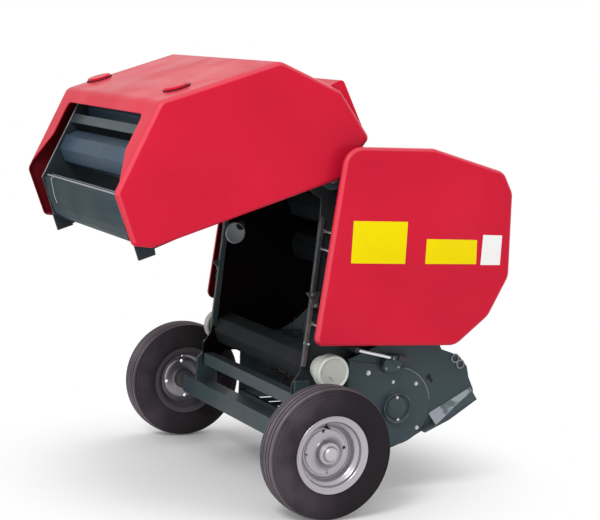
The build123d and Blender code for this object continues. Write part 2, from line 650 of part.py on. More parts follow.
# Tailgate hood: top, slope and back sheet, with the window in the lower rear face, which widens to the
# tailgate's whole width at the foot
HOOD_CUT = ((-60, 200), (-64, 160), (-72, 120), (-120, -300), (-200, -600), (-285, -640), (-300, -700), (60, -700))
WINDOW_HALF, WINDOW_TOP, WINDOW_CORNER = 340, 46, 22
WINDOW_WAIST, WINDOW_FOOT, WINDOW_FLARE = 162, 340, 468
FACE_LOW, FACE_HIGH = GATE_POINTS[0], GATE_POINTS[-1]
FACE_SLOPE = atan2(FACE_HIGH[1] - FACE_LOW[1], FACE_HIGH[0] - FACE_LOW[0])
rear_face = Plane(
    origin=gate_side(0).from_local_coords((*FACE_HIGH, 0)),
    x_dir=(0, 1, 0),
    z_dir=gate_side(0).from_local_coords((-sin(FACE_SLOPE), cos(FACE_SLOPE), 0)) - gate_side(0).origin,
)
with BuildPart() as gate_hood:
    with BuildSketch(gate_side(GATE_RIM)):
        add(gate_outline)
        add(offset(gate_outline, amount=-SHEET, mode=Mode.PRIVATE), mode=Mode.SUBTRACT)
        Polygon(*HOOD_CUT, (60, 200), align=None, mode=Mode.SUBTRACT)
    extrude(amount=2 * GATE_RIM)
    with BuildSketch(rear_face):
        with Locations((0, (WINDOW_TOP + WINDOW_FOOT) / 2)):
            RectangleRounded(2 * WINDOW_HALF, WINDOW_FOOT - WINDOW_TOP, WINDOW_CORNER)
        Polygon(
            (-WINDOW_HALF, WINDOW_WAIST), (WINDOW_HALF, WINDOW_WAIST), (WINDOW_FLARE, WINDOW_FOOT),
            (-WINDOW_FLARE, WINDOW_FOOT), align=None,
        )
    extrude(amount=GATE_EDGE, both=True, mode=Mode.SUBTRACT)
save(gate_hood.part, "gate_hood")

# Raised cap along the hood's top
CAP_HALF = 400
CAP_LINE = ((-88, 158.2), (-262, 158.2), (-262, 112))
CAP_END = ((-90, 156.2), (-260, 156.2), (-260, 112), (-239, 131))
with BuildPart() as gate_cap:
    add(strip(CAP_LINE, 12, gate_side(CAP_HALF), SHEET, 2 * CAP_HALF))
    for y in (CAP_HALF, -CAP_HALF + SHEET):
        with BuildSketch(gate_side(y)):
            Polygon(*CAP_END, align=None)
        extrude(amount=SHEET)
save(gate_cap.part, "gate_cap")

# Tailgate walls: the chamber's sides in the gate, with bearing flanges, standoffs to the panels and
# the hook at the foot that meets the latch
GATE_WALL = (
    (-44, -3), (-110, 32), (-122, 92), (-234, 118), (-396, -24), (-437, -393), (-252, -636), (-126, -654),
    (-66, -612), (-22, -135),
)
HINGE_CLEAR_R = 70
STANDOFFS = ((-380, -235), (-250, 62), (-232, -598))
STANDOFF_R = 10
HOOK = ((-150, -640), (-112, -652), (-62, -658), (-54, -604), (-100, -592))
HOOK_IN, HOOK_OUT = 374, 382
HOOK_POST, HOOK_POST_R = (-104, -614), 8
with BuildPart() as gate_wall:
    with BuildSketch(gate_side(-WALL_IN)):
        Polygon(*GATE_WALL, align=None)
        Circle(HINGE_CLEAR_R, mode=Mode.SUBTRACT)
    extrude(amount=WALL)
    with BuildSketch(gate_side(-WALL_OUT)):
        with Locations(*[gate_place(angle) for angle in GATE_ROLLERS]):
            Circle(FLANGE_R)
    extrude(amount=FLANGE_OUT - WALL_OUT)
    with BuildSketch(gate_side(-WALL_IN)):
        with Locations(*[gate_place(angle) for angle in GATE_ROLLERS]):
            Circle(SHAFT_R + RUNNING)
    extrude(amount=FLANGE_OUT - WALL_IN, mode=Mode.SUBTRACT)
    with BuildSketch(gate_side(-WALL_OUT)):
        with Locations(*STANDOFFS):
            Circle(STANDOFF_R)
    extrude(amount=GATE_FACE - SHEET - WALL_OUT)
    with BuildSketch(gate_side(-WALL_OUT)):
        with Locations(HOOK_POST):
            Circle(HOOK_POST_R)
    extrude(amount=HOOK_IN - WALL_OUT)
    with BuildSketch(gate_side(-HOOK_IN)):
        Polygon(*HOOK, align=None)
    extrude(amount=HOOK_OUT - HOOK_IN)
save_pair(gate_wall.part, "gate_wall")

# Flat bar between the tailgate's walls, behind the window
FLAT_BAR, FLAT_BAR_SIZE = (-381, -457), (30, 9)
with BuildPart() as gate_bar:
    with BuildSketch(gate_side(WALL_IN)):
        with Locations(FLAT_BAR):
            Rectangle(*FLAT_BAR_SIZE, rotation=degrees(FACE_SLOPE))
    extrude(amount=2 * WALL_IN)
save(gate_bar.part, "gate_bar")

# Bent sheet that closes the tailgate's foot between its walls, with a folded lip
APRON = ((-247, -604), (-249, -628), (-196, -641), (-128, -646), (-92, -622))
save(strip(APRON, (6, 30, 20), gate_side(WALL_IN), SHEET, 2 * WALL_IN), "gate_apron")

# Tailgate arms on the hinge pins, each with the branch that the cylinder's eye sits beside
EYE_SHUT = EYE_OPEN + OPEN_ANGLE
EYE_PLACE = (EYE_REACH * cos(radians(EYE_SHUT)), EYE_REACH * sin(radians(EYE_SHUT)))
ARM_FEET = ((-128, -34), (-205, -120))
ARM_HUB_R, ARM_EYE_R, ARM_PAD_R, ARM_POST_R = 32, 20, 24, 14
with BuildPart() as gate_arm:
    with BuildSketch(gate_side(-ARM_IN)):
        Circle(ARM_HUB_R)
        with Locations(EYE_PLACE):
            Circle(ARM_EYE_R)
        make_hull()
    extrude(amount=ARM_OUT - ARM_IN)
    with BuildSketch(gate_side(-ARM_IN)):
        Circle(ARM_HUB_R)
        with Locations(*ARM_FEET):
            Circle(ARM_PAD_R)
        make_hull()
    extrude(amount=ARM_OUT - ARM_IN)
    with BuildSketch(gate_side(-WALL_OUT)):
        with Locations(*ARM_FEET):
            Circle(ARM_POST_R)
    extrude(amount=GATE_FACE - SHEET - WALL_OUT)
    with BuildSketch(gate_side(-ARM_IN)):
        Circle(PIN_R + RUNNING)
    extrude(amount=ARM_OUT - ARM_IN, mode=Mode.SUBTRACT)
save_pair(gate_arm.part, "gate_arm")

# Tailgate cylinders: the barrel on its base pin, and the rod with its eye and pin
eye_x = HINGE_X + EYE_REACH * cos(radians(EYE_OPEN))
eye_z = HINGE_Z + EYE_REACH * sin(radians(EYE_OPEN))
CYL_LENGTH = hypot(eye_x - BASE_X, eye_z - BASE_Z)
CYL_ANGLE = atan2(eye_z - BASE_Z, eye_x - BASE_X)


def along(distance):
    """A plane across the right-hand cylinder, at this distance from its base pin"""
    start = (
        AXLE_X + BASE_X + distance * cos(CYL_ANGLE),
        -CYL_Y,
        BASE_Z + distance * sin(CYL_ANGLE),
    )
    return Plane(origin=start, x_dir=(0, 1, 0), z_dir=(cos(CYL_ANGLE), 0, sin(CYL_ANGLE)))


ROD_FOOT = 70
EYE_PIN_R = 10
with BuildPart() as barrel:
    with BuildSketch(side(-CYL_Y + EYE_HALF)):
        with Locations((BASE_X, BASE_Z)):
            Circle(EYE_R)
    extrude(amount=2 * EYE_HALF)
    with BuildSketch(along(EYE_R - 4)):
        Circle(BARREL_R)
    extrude(amount=BARREL_END - EYE_R + 4)
    with BuildSketch(along(ROD_FOOT - 4)):
        Circle(ROD_R + RUNNING)
    extrude(amount=BARREL_END - ROD_FOOT + 4, mode=Mode.SUBTRACT)
    with BuildSketch(side(-CYL_Y + EYE_HALF + 4)):
        with Locations((BASE_X, BASE_Z)):
            Circle(BASE_PIN_R + RUNNING)
    extrude(amount=2 * EYE_HALF + 8, mode=Mode.SUBTRACT)
save_pair(barrel.part, "cylinder_barrel")

with BuildPart() as rod:
    with BuildSketch(along(ROD_FOOT)):
        Circle(ROD_R)
    extrude(amount=CYL_LENGTH - ROD_FOOT - 8)
    with BuildSketch(side(-CYL_Y + EYE_HALF)):
        with Locations((eye_x, eye_z)):
            Circle(EYE_R)
    extrude(amount=2 * EYE_HALF)
    with BuildSketch(side(-CYL_Y + EYE_HALF + 5)):
        with Locations((eye_x, eye_z)):
            Circle(EYE_PIN_R)
    extrude(amount=2 * EYE_HALF + 7)
save_pair(rod.part, "cylinder_rod")
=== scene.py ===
import math

import bmesh
import bpy
from mathutils import Matrix, Vector


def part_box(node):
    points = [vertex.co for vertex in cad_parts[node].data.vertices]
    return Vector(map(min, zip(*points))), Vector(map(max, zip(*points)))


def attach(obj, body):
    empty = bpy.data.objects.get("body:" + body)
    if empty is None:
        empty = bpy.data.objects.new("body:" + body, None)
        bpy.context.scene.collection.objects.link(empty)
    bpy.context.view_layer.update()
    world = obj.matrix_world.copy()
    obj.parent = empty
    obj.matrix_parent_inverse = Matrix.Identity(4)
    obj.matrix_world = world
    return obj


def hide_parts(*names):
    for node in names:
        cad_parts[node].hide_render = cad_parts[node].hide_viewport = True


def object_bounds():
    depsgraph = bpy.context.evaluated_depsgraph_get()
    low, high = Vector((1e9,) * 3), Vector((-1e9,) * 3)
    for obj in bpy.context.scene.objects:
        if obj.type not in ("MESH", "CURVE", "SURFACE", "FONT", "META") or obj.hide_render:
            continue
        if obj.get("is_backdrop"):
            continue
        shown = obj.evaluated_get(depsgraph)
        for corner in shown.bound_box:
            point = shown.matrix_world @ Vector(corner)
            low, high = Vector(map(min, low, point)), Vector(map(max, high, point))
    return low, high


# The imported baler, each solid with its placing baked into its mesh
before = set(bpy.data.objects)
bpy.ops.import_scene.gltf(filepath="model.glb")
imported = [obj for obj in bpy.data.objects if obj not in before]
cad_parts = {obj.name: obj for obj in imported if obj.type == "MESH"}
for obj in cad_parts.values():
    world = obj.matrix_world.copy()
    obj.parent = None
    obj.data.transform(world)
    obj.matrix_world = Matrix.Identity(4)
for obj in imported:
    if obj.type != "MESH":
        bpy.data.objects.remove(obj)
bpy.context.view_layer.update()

# The camera stands behind the machine on its right, a little above the raised tailgate's foot,
# with a long lens. Its axes are given as the directions of the picture's right edge and its depth.
CAMERA_PLACE = Vector((-2.3944, -4.992, 1.418))
PICTURE_RIGHT = Vector((0.8964, -0.4408, 0.0498)).normalized()
PICTURE_AHEAD = Vector((0.4433, 0.8874, -0.1259)).normalized()
LENS, SENSOR = 101.46, 36.0


def placed(name, data):
    """A new object in the scene, from its data or from a mesh that is still being edited"""
    if isinstance(data, bmesh.types.BMesh):
        edited, data = data, bpy.data.meshes.new(name)
        edited.to_mesh(data)
        edited.free()
    piece = bpy.data.objects.new(name, data)
    bpy.context.scene.collection.objects.link(piece)
    return piece


view_data = bpy.data.cameras.new("camera")
view_data.lens, view_data.sensor_width = LENS, SENSOR
view_data.clip_start, view_data.clip_end = 0.1, 200.0
picture_up = PICTURE_RIGHT.cross(PICTURE_AHEAD).normalized()
turn = Matrix((PICTURE_RIGHT, picture_up, -PICTURE_AHEAD)).transposed().to_4x4()
camera = placed("camera", view_data)
camera.matrix_world = Matrix.Translation(CAMERA_PLACE) @ turn
bpy.context.scene.camera = camera

# The studio is a pale floor under an even sky, with one broad lamp above and behind the camera and
# a weaker one on the far side. The backdrop is white to the camera and in reflections.
SKY_LEVEL = 0.74
SKY_HIGH, SKY_LOW = (1.0, 1.0, 1.0), (0.80, 0.80, 0.81)
LOW_AT, HIGH_AT = -0.1, 0.7
LAMP_AIM = Vector((0, 0, 0.7))
LAMPS = (  # name, place, width, power
    ("key_lamp", (-4.2, -3.6, 5.2), 2.4, 210.0),
    ("far_lamp", (4.5, 3.5, 4.5), 4.0, 60.0),
)
WHITE = (1.0, 1.0, 1.0, 1.0)
FLOOR_COLOUR, FLOOR_ROUGH, FLOOR_GLOSS = (0.97, 0.97, 0.968, 1.0), 0.9, 0.1
FLOOR_RADIUS = 40.0
FADE_FROM, FADE_TO = 0.45, 1.05

world = bpy.data.worlds.new("studio")
world.use_nodes = True
bpy.context.scene.world = world
sky = world.node_tree
sky.nodes.clear()


def fed(tree, piece, inputs):
    """Sets each input of a node to a plain value or links it to another node's output"""
    for socket, value in inputs.items():
        if isinstance(value, bpy.types.NodeSocket):
            tree.links.new(value, piece.inputs[socket])
        else:
            piece.inputs[socket].default_value = value
    return piece.outputs


def add_node(tree, kind, inputs=None, **settings):
    """A new shader node with its settings and inputs, as its outputs"""
    added = tree.nodes.new(f"ShaderNode{kind}")
    for name, value in settings.items():
        setattr(added, name, value)
    return fed(tree, added, inputs or {})


def ramp(tree, value, low, high, start=0.0, end=1.0, kind="SMOOTHSTEP"):
    """A value taken from one range to another, smoothly unless another kind is named"""
    ends = {"From Min": low, "From Max": high, "To Min": start, "To Max": end, "Value": value}
    return add_node(tree, "MapRange", ends, interpolation_type=kind)[0]


def joined(tree, work, first, second=0.5):
    """A sum, product or the like of two values, where the second may be a number"""
    return add_node(tree, "Math", {0: first, 1: second}, operation=work)[0]


def blended(tree, share, under, over):
    """Two colours mixed by a share; a colour is a socket or three numbers"""
    pair = (("A", under), ("B", over))
    sockets = {name: (*tone, 1.0) if isinstance(tone, tuple) else tone for name, tone in pair}
    return add_node(tree, "Mix", {"Factor": share, **sockets}, data_type="RGBA")["Result"]


def part_of(tree, kind, output, axis):
    """One coordinate of a texture coordinate or of the surface's direction"""
    return add_node(tree, "SeparateXYZ", {0: add_node(tree, kind)[output]})[axis]


def looked_at(tree):
    """1 for what the camera sees, straight on, in a reflection or through glass"""
    path = add_node(tree, "LightPath")
    share = path["Is Camera Ray"]
    for other in ("Is Glossy Ray", "Is Transmission Ray"):
        share = joined(tree, "MAXIMUM", share, path[other])
    return share


height = ramp(sky, part_of(sky, "TexCoord", "Generated", "Z"), LOW_AT, HIGH_AT, kind="LINEAR")
lit = add_node(sky, "Background", {"Color": blended(sky, height, SKY_LOW, SKY_HIGH), "Strength": SKY_LEVEL})
white = add_node(sky, "Background", {"Color": WHITE})
pick = add_node(sky, "MixShader", {0: looked_at(sky), 1: lit[0], 2: white[0]})
add_node(sky, "OutputWorld", {"Surface": pick[0]})

for lamp_name, place, size, power in LAMPS:
    lamp_data = bpy.data.lights.new(lamp_name, "AREA")
    lamp_data.shape, lamp_data.size, lamp_data.energy = "DISK", size, power
    lamp = placed(lamp_name, lamp_data)
    lamp.location = place
    lamp.rotation_euler = (LAMP_AIM - Vector(place)).to_track_quat("-Z", "Y").to_euler()

floor_mesh = bmesh.new()
bmesh.ops.create_circle(floor_mesh, cap_ends=True, segments=64, radius=FLOOR_RADIUS)
floor = placed("floor", floor_mesh)
floor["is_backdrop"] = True
floor_paint = bpy.data.materials.new("pale_floor")
floor_paint.use_nodes = True
tree = floor_paint.node_tree
matt = {"Base Color": FLOOR_COLOUR, "Roughness": FLOOR_ROUGH, "Specular IOR Level": FLOOR_GLOSS}
floor_place = add_node(tree, "TexCoord")["Object"]
reach = add_node(tree, "VectorMath", {0: floor_place}, operation="LENGTH")["Value"]
glowing = joined(tree, "MULTIPLY", ramp(tree, reach, FADE_FROM, FADE_TO), looked_at(tree))
glow = add_node(tree, "Emission", {"Color": WHITE})[0]
floor_mix = {0: glowing, 1: fed(tree, tree.nodes["Principled BSDF"], matt)[0], 2: glow}
fed(tree, tree.nodes["Material Output"], {"Surface": add_node(tree, "MixShader", floor_mix)[0]})
floor.data.materials.append(floor_paint)
bpy.context.scene.view_settings.view_transform = "Standard"

# Axle beam and uprights: square steel tube with welded stubs and plates, under the frame's dark
# grey-green coat. Places here are as on the drawings: millimetres before the axle, to the left of
# the middle plane and above the ground.
SIDES = (("right", -1), ("left", 1))
AXLE_X = (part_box("rim_right")[0].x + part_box("rim_right")[1].x) * 500
FRAME_GREY = (0.040, 0.062, 0.071)
FRAME_DUST = (0.22, 0.20, 0.16)
BARE_STEEL = (0.34, 0.33, 0.36)
UPRIGHT_FOOT, UPRIGHT_HALF, BEAM_TOP, WELD_OFF = 362, 35, 235, 5


def at(x, y, z):
    """A place on the machine in metres"""
    return Vector((x + AXLE_X, y, z)) / 1000


def noise(tree, scale, detail=4.0, stretch=None):
    """A noise on the object's own coordinates, in cells to the metre"""
    place = add_node(tree, "TexCoord")["Object"]
    if stretch:
        place = add_node(tree, "Mapping", {"Scale": stretch, "Vector": place})["Vector"]
    return add_node(tree, "TexNoise", {"Scale": scale, "Detail": detail, "Vector": place})["Fac"]


def outer_edges(tree, radius):
    """A mask of the surface's sharp edges, where paint wears"""
    rounded = add_node(tree, "Bevel", {"Radius": radius}, samples=4)[0]
    true = add_node(tree, "NewGeometry")["Normal"]
    same = add_node(tree, "VectorMath", {0: rounded, 1: true}, operation="DOT_PRODUCT")["Value"]
    return ramp(tree, same, 0.995, 0.90)


def bumped(tree, value, strength, depth):
    """A bump from a value, in metres of depth"""
    return add_node(tree, "Bump", {"Strength": strength, "Distance": depth, "Height": value})["Normal"]


def enamel(
    name, colour, dust=FRAME_DUST, chip=BARE_STEEL, rough=0.34, coat=0.0, dusty=0.2, worn=0.55,
    metal=0.0, gloss=0.3,
):
    """Coated steel: tone varies a little, dust lies on what faces up, and edges are worn in places"""
    paint = bpy.data.materials.new(name)
    paint.use_nodes = True
    tree = paint.node_tree
    deep = tuple(c * 0.92 for c in colour)
    light = tuple(min(1.0, c * 1.05) for c in colour)
    tone = blended(tree, ramp(tree, noise(tree, 2.3), 0.3, 0.7), deep, light)
    upward = ramp(tree, part_of(tree, "NewGeometry", "Normal", "Z"), 0.15, 0.95)
    lying = joined(tree, "MULTIPLY", upward, ramp(tree, noise(tree, 14.0, 6.0), 0.35, 0.75, 0.2, 1.0))
    tone = blended(tree, joined(tree, "MULTIPLY", lying, dusty), tone, dust)
    film = ramp(tree, noise(tree, 5.0, 8.0), 0.48, 0.8)
    tone = blended(tree, joined(tree, "MULTIPLY", film, dusty * 0.3), tone, dust)
    patchy = ramp(tree, noise(tree, 38.0, 6.0), 0.48, 0.62)
    wear = joined(tree, "MULTIPLY", outer_edges(tree, 0.0025), patchy)
    tone = blended(tree, joined(tree, "MULTIPLY", wear, worn), tone, chip)
    fed(tree, tree.nodes["Principled BSDF"], {
        "Base Color": tone,
        "Roughness": ramp(tree, noise(tree, 7.0, 5.0), 0.3, 0.75, rough, rough + 0.14),
        "Coat Weight": coat,
        "Coat Roughness": 0.12,
        "Metallic": metal,
        "Specular IOR Level": gloss,
        "Normal": bumped(tree, noise(tree, 420.0, 2.0), 0.06, 0.0006),
    })
    return paint


def round_edges(piece, width, angle):
    """Rounds the edges of a piece that turn by more than an angle"""
    rounding = piece.modifiers.new("rounding", "BEVEL")
    rounding.width, rounding.segments = width, 2
    rounding.limit_method, rounding.angle_limit = "ANGLE", math.radians(angle)


def dress(node, paint, edge=0.0008):
    """Gives a solid of the frame its finish, with its small edges rounded"""
    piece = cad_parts[node]
    piece.data.materials.clear()
    piece.data.materials.append(paint)
    for face in piece.data.polygons:
        face.use_smooth = True
    weld = piece.modifiers.new("weld", "WELD")
    weld.merge_threshold = 0.00001
    round_edges(piece, edge, 32)
    level = piece.modifiers.new("level", "WEIGHTED_NORMAL")
    level.keep_sharp = False


def finished(name, mesh, paint, body="chassis", sharp=32, edge=0.0, instead=None):
    """A new piece from its mesh, with its finish, on its body and perhaps instead of a solid"""
    bmesh.ops.recalc_face_normals(mesh, faces=mesh.faces)
    piece = placed(name, mesh)
    piece.data.materials.append(paint)
    for face in piece.data.polygons:
        face.use_smooth = True
    piece.data.set_sharp_from_angle(angle=math.radians(sharp))
    if edge:
        round_edges(piece, edge, sharp)
    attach(piece, body)
    if instead:
        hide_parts(instead)
    return piece


def bead(mesh, start, end, radius=3.0):
    """A weld bead: overlapping drops along a seam"""
    run = end - start
    drops = max(2, round(run.length * 1000 / radius))
    for drop in range(drops + 1):
        spot = Matrix.Translation(start + run * (drop / drops))
        bmesh.ops.create_icosphere(mesh, subdivisions=1, radius=radius / 1000, matrix=spot)


frame_enamel = enamel("frame_enamel", FRAME_GREY, rough=0.38, coat=0.08, dusty=0.14, gloss=0.2)
for node in ("chassis_frame", "lower_tie"):
    dress(node, frame_enamel)
weld_mesh = bmesh.new()
for side_name, side in SIDES:
    for off in (-WELD_OFF, WELD_OFF):
        y = side * (UPRIGHT_FOOT + off)
        bead(weld_mesh, at(WELD_OFF - UPRIGHT_HALF, y, BEAM_TOP), at(UPRIGHT_HALF - WELD_OFF, y, BEAM_TOP))
finished("axle_weld_beads", weld_mesh, frame_enamel)

# Wheels: an 8 inch steel rim in silver enamel under a rib-treaded cross-ply tyre, on taper bearings
# behind a pressed grease cap. Each profile is distance outwards from the wheel's middle, and radius.
WHEEL_Y, AXLE_Z = 572.5, 205
TYRE_HALF = (
    (0, 205), (8.5, 204.9), (9.2, 201), (12.8, 201), (13.5, 204.7), (24, 204), (24.7, 199.8),
    (28.3, 199.6), (29, 203.4), (37, 202), (41, 200.2), (44.5, 197), (45.8, 194), (45, 192.4),
    (46.8, 190.6), (49.6, 188.6), (50.6, 186), (50.1, 184.6), (51.8, 182.6), (54.2, 178), (56.2, 171),
    (57.3, 163), (57.4, 155), (56.2, 147), (53.6, 139), (50.2, 132), (47.2, 126.5), (45.2, 122.6),
    (44.2, 119.6), (41.4, 104), (38, 103.2),
)
RIM_LOOP = (
    (45.2, 119), (45.6, 120.2), (47, 120.6), (48.2, 119.6), (48, 117.6), (46.4, 115.4),
    (45, 112.4), (44, 108.4), (43.3, 104.4), (42, 101.4), (39.2, 100), (33, 99.4),
    (30.2, 98.2), (28, 95.8), (23.6, 89.4), (20.8, 86.6), (16.4, 85.2), (4, 84.7), (-0.4, 83.8),
    (-2.2, 81.6), (-1.5, 79.2), (1, 77.4), (1.9, 74.8), (0.7, 72.2), (-1.9, 70.4), (-3.6, 66),
    (-3.8, 60), (-1.4, 50), (2.6, 42.4), (5.8, 38.8), (8.2, 36.4), (11.4, 35), (26.4, 34.4),
    (27.5, 33.2), (27.5, 15.1), (-40.5, 15.1), (-40.5, 33), (-39.4, 34.4), (-9, 35), (-8.2, 38),
    (-8, 46), (-8, 60), (-7.6, 68), (-5.4, 72.4), (-2.6, 74.6), (-3.4, 76.6), (-5.8, 78.6),
    (-6.6, 82), (-8.2, 84.8), (-14.4, 85.2), (-18.4, 87), (-28.6, 98.6), (-40.4, 99.8),
    (-44.4, 101.8), (-46.6, 110), (-48.3, 116.4), (-48, 119), (-46.6, 120.1), (-44.6, 120),
    (-44, 119), (-41.2, 103.4), (-27.4, 102.8), (-24.8, 101.2), (-17.2, 91), (-14.4, 89.2),
    (15.8, 89.2), (18.8, 91), (26.4, 101.2), (29, 102.8), (41.2, 103.4), (42.4, 110),
    (43.4, 115),
)
HUB_FACE = 27.5
CAP_LOOP = (
    (0, 0), (0, 30.4), (2.6, 30.4), (3.6, 29.2), (3.6, 25.8), (4.6, 24.9), (9.4, 24.4), (13.6, 22.6),
    (17, 19.2), (19.4, 13.4), (20.6, 7), (21, 0),
)
WHEEL_STEPS = 112
DISC_HOLES, HOLE_R, HOLE_RING = (8, 98, 188, 278), 5.5, 64.0
CUT_HALF, RIM_SHARP = 17, 50
VALVE_ANGLE, VALVE_RING, VALVE_SLOT_R, VALVE_STEM, VALVE_ROOT = 96, 86.0, 8.0, 80.0, 6
VALVE = ((4.6, 16, 16, 3.8), (2.9, 12, 16, 2.6))  # each bar's radius, length, steps and far radius
TREAD_DUST, SIDE_BLACK, SIDE_LIT_GREY = (0.185, 0.160, 0.182), (0.018, 0.014, 0.017), (0.070, 0.056, 0.066)
RIM_SILVER, RIM_DUST, RIM_CHIP = (0.47, 0.44, 0.48), (0.34, 0.29, 0.29), (0.26, 0.23, 0.23)
RIM_BACK_SHADE, RIM_BACK = (0.10, 0.09, 0.10), 0.5630
SHADE_AND_RUBBER_BLACK, HOLE_DUST = (0.012, 0.011, 0.012), (0.05, 0.05, 0.05)
ZINC, ZINC_DUST, ZINC_CHIP = (0.56, 0.54, 0.56), (0.30, 0.27, 0.24), (0.7, 0.7, 0.7)


def turned(profile, side, start, steps):
    """A closed profile, as distance outwards and radius, spun round a crosswise axis on one side"""
    mesh = bmesh.new()
    points = [mesh.verts.new((0, side * y / 1000, r / 1000)) for y, r in profile]
    edges = [mesh.edges.new(pair) for pair in zip(points, points[1:] + points[:1])]
    bmesh.ops.spin(
        mesh, geom=points + edges, cent=(0, 0, 0), axis=(0, 1, 0), angle=math.tau, steps=steps,
        use_merge=True,
    )
    bmesh.ops.remove_doubles(mesh, verts=mesh.verts, dist=0.000005)
    bmesh.ops.translate(mesh, vec=start, verts=mesh.verts)
    return mesh


def drum(mesh, place, direction, radius, length, steps=24, tip=None):
    """A round bar that starts at a place and runs in a direction, and may taper to a tip"""
    way = Vector(direction).normalized()
    stand = way.to_track_quat("Z", "Y").to_matrix().to_4x4()
    tip = radius if tip is None else tip
    bmesh.ops.create_cone(
        mesh, cap_ends=True, segments=steps, radius1=radius / 1000, radius2=tip / 1000, depth=length / 1000,
        matrix=Matrix.Translation(place + way * (length / 2000)) @ stand,
    )


def stacked(mesh, place, direction, bars):
    """Round bars end to end, each as its radius, length and steps, and perhaps its far radius"""
    for bar in bars:
        drum(mesh, place, direction, *bar)
        place = place + Vector(direction) * (bar[1] / 1000)


def circled(x, z, radius, degrees):
    """How far forward and up a spot lies on a circle round a crosswise axis"""
    around = math.radians(degrees)
    return x + radius * math.cos(around), z + radius * math.sin(around)


def outwards(make, mesh, side, spots, y, *sizes):
    """The same small parts at several spots on one side, pointing away from the middle plane"""
    for x, z, *own in spots:
        make(mesh, at(x, side * y, z), (0, side, 0), *own, *sizes)


def overlaid(paint, share, colour):
    """Lays another colour over a paint, by a share worked out among the paint's own nodes"""
    tree, shader = paint.node_tree, paint.node_tree.nodes["Principled BSDF"]
    below = shader.inputs["Base Color"].links[0].from_socket
    fed(tree, shader, {"Base Color": blended(tree, share, below, colour)})


def shade_within(paint, limit, colour):
    """Paints shade: a dark diffuse coat over a paint where the surface lies nearer to the machine's middle
    plane than a limit
    """
    tree = paint.node_tree
    off_middle = joined(tree, "ABSOLUTE", part_of(tree, "TexCoord", "Object", "Y"))
    inside = ramp(tree, off_middle, limit, limit - 0.001)
    overlaid(paint, inside, colour)
    shade_coat = add_node(tree, "BsdfDiffuse", {"Color": (*colour, 1.0)})[0]
    both = add_node(tree, "MixShader", {0: inside, 1: tree.nodes["Principled BSDF"].outputs[0], 2: shade_coat})
    fed(tree, tree.nodes["Material Output"], {"Surface": both[0]})


rubber = bpy.data.materials.new("rubber")
rubber.use_nodes = True
tree = rubber.node_tree
flank = ramp(tree, joined(tree, "ABSOLUTE", part_of(tree, "NewGeometry", "Normal", "Y")), 0.35, 0.75)
# Painted light: the sidewall turns paler in noisy patches towards the rear
rearward = ramp(tree, part_of(tree, "TexCoord", "Object", "X"), 0.02, -0.22)
lit_patches = joined(tree, "MULTIPLY", rearward, ramp(tree, noise(tree, 9.0, 7.0), 0.30, 0.62, 0.35, 1.0))
side_tone = blended(tree, lit_patches, SIDE_BLACK, SIDE_LIT_GREY)
tread_tone = blended(tree, ramp(tree, noise(tree, 7.0, 7.0), 0.3, 0.7, 0.55, 1.0), SIDE_BLACK, TREAD_DUST)
fed(tree, tree.nodes["Principled BSDF"], {
    "Base Color": blended(tree, flank, tread_tone, side_tone),
    "Roughness": 0.80,
    "Specular IOR Level": 0.14,
    "Normal": bumped(tree, noise(tree, 260.0, 4.0), 0.25, 0.0008),
})

rim_enamel = enamel(
    "rim_enamel", RIM_SILVER, RIM_DUST, RIM_CHIP, rough=0.27, coat=0.1, dusty=0.12, metal=0.92, gloss=0.5,
)
# Painted shade: the rim's faces on its inner side, nearer the middle plane than RIM_BACK, turn a dark
# diffuse grey
shade_within(rim_enamel, RIM_BACK, RIM_BACK_SHADE)
# Painted shade: this near-black stands in for the shade in holes and recesses, and is also the black rubber
# of valves and lid seals
hole_shade_and_rubber = enamel("hole_shade_and_rubber", SHADE_AND_RUBBER_BLACK, HOLE_DUST, HOLE_DUST, rough=0.7, dusty=0.1)
bright_zinc = enamel(
    "bright_zinc", ZINC, ZINC_DUST, ZINC_CHIP, rough=0.32, dusty=0.2, metal=0.85, gloss=0.5,
)

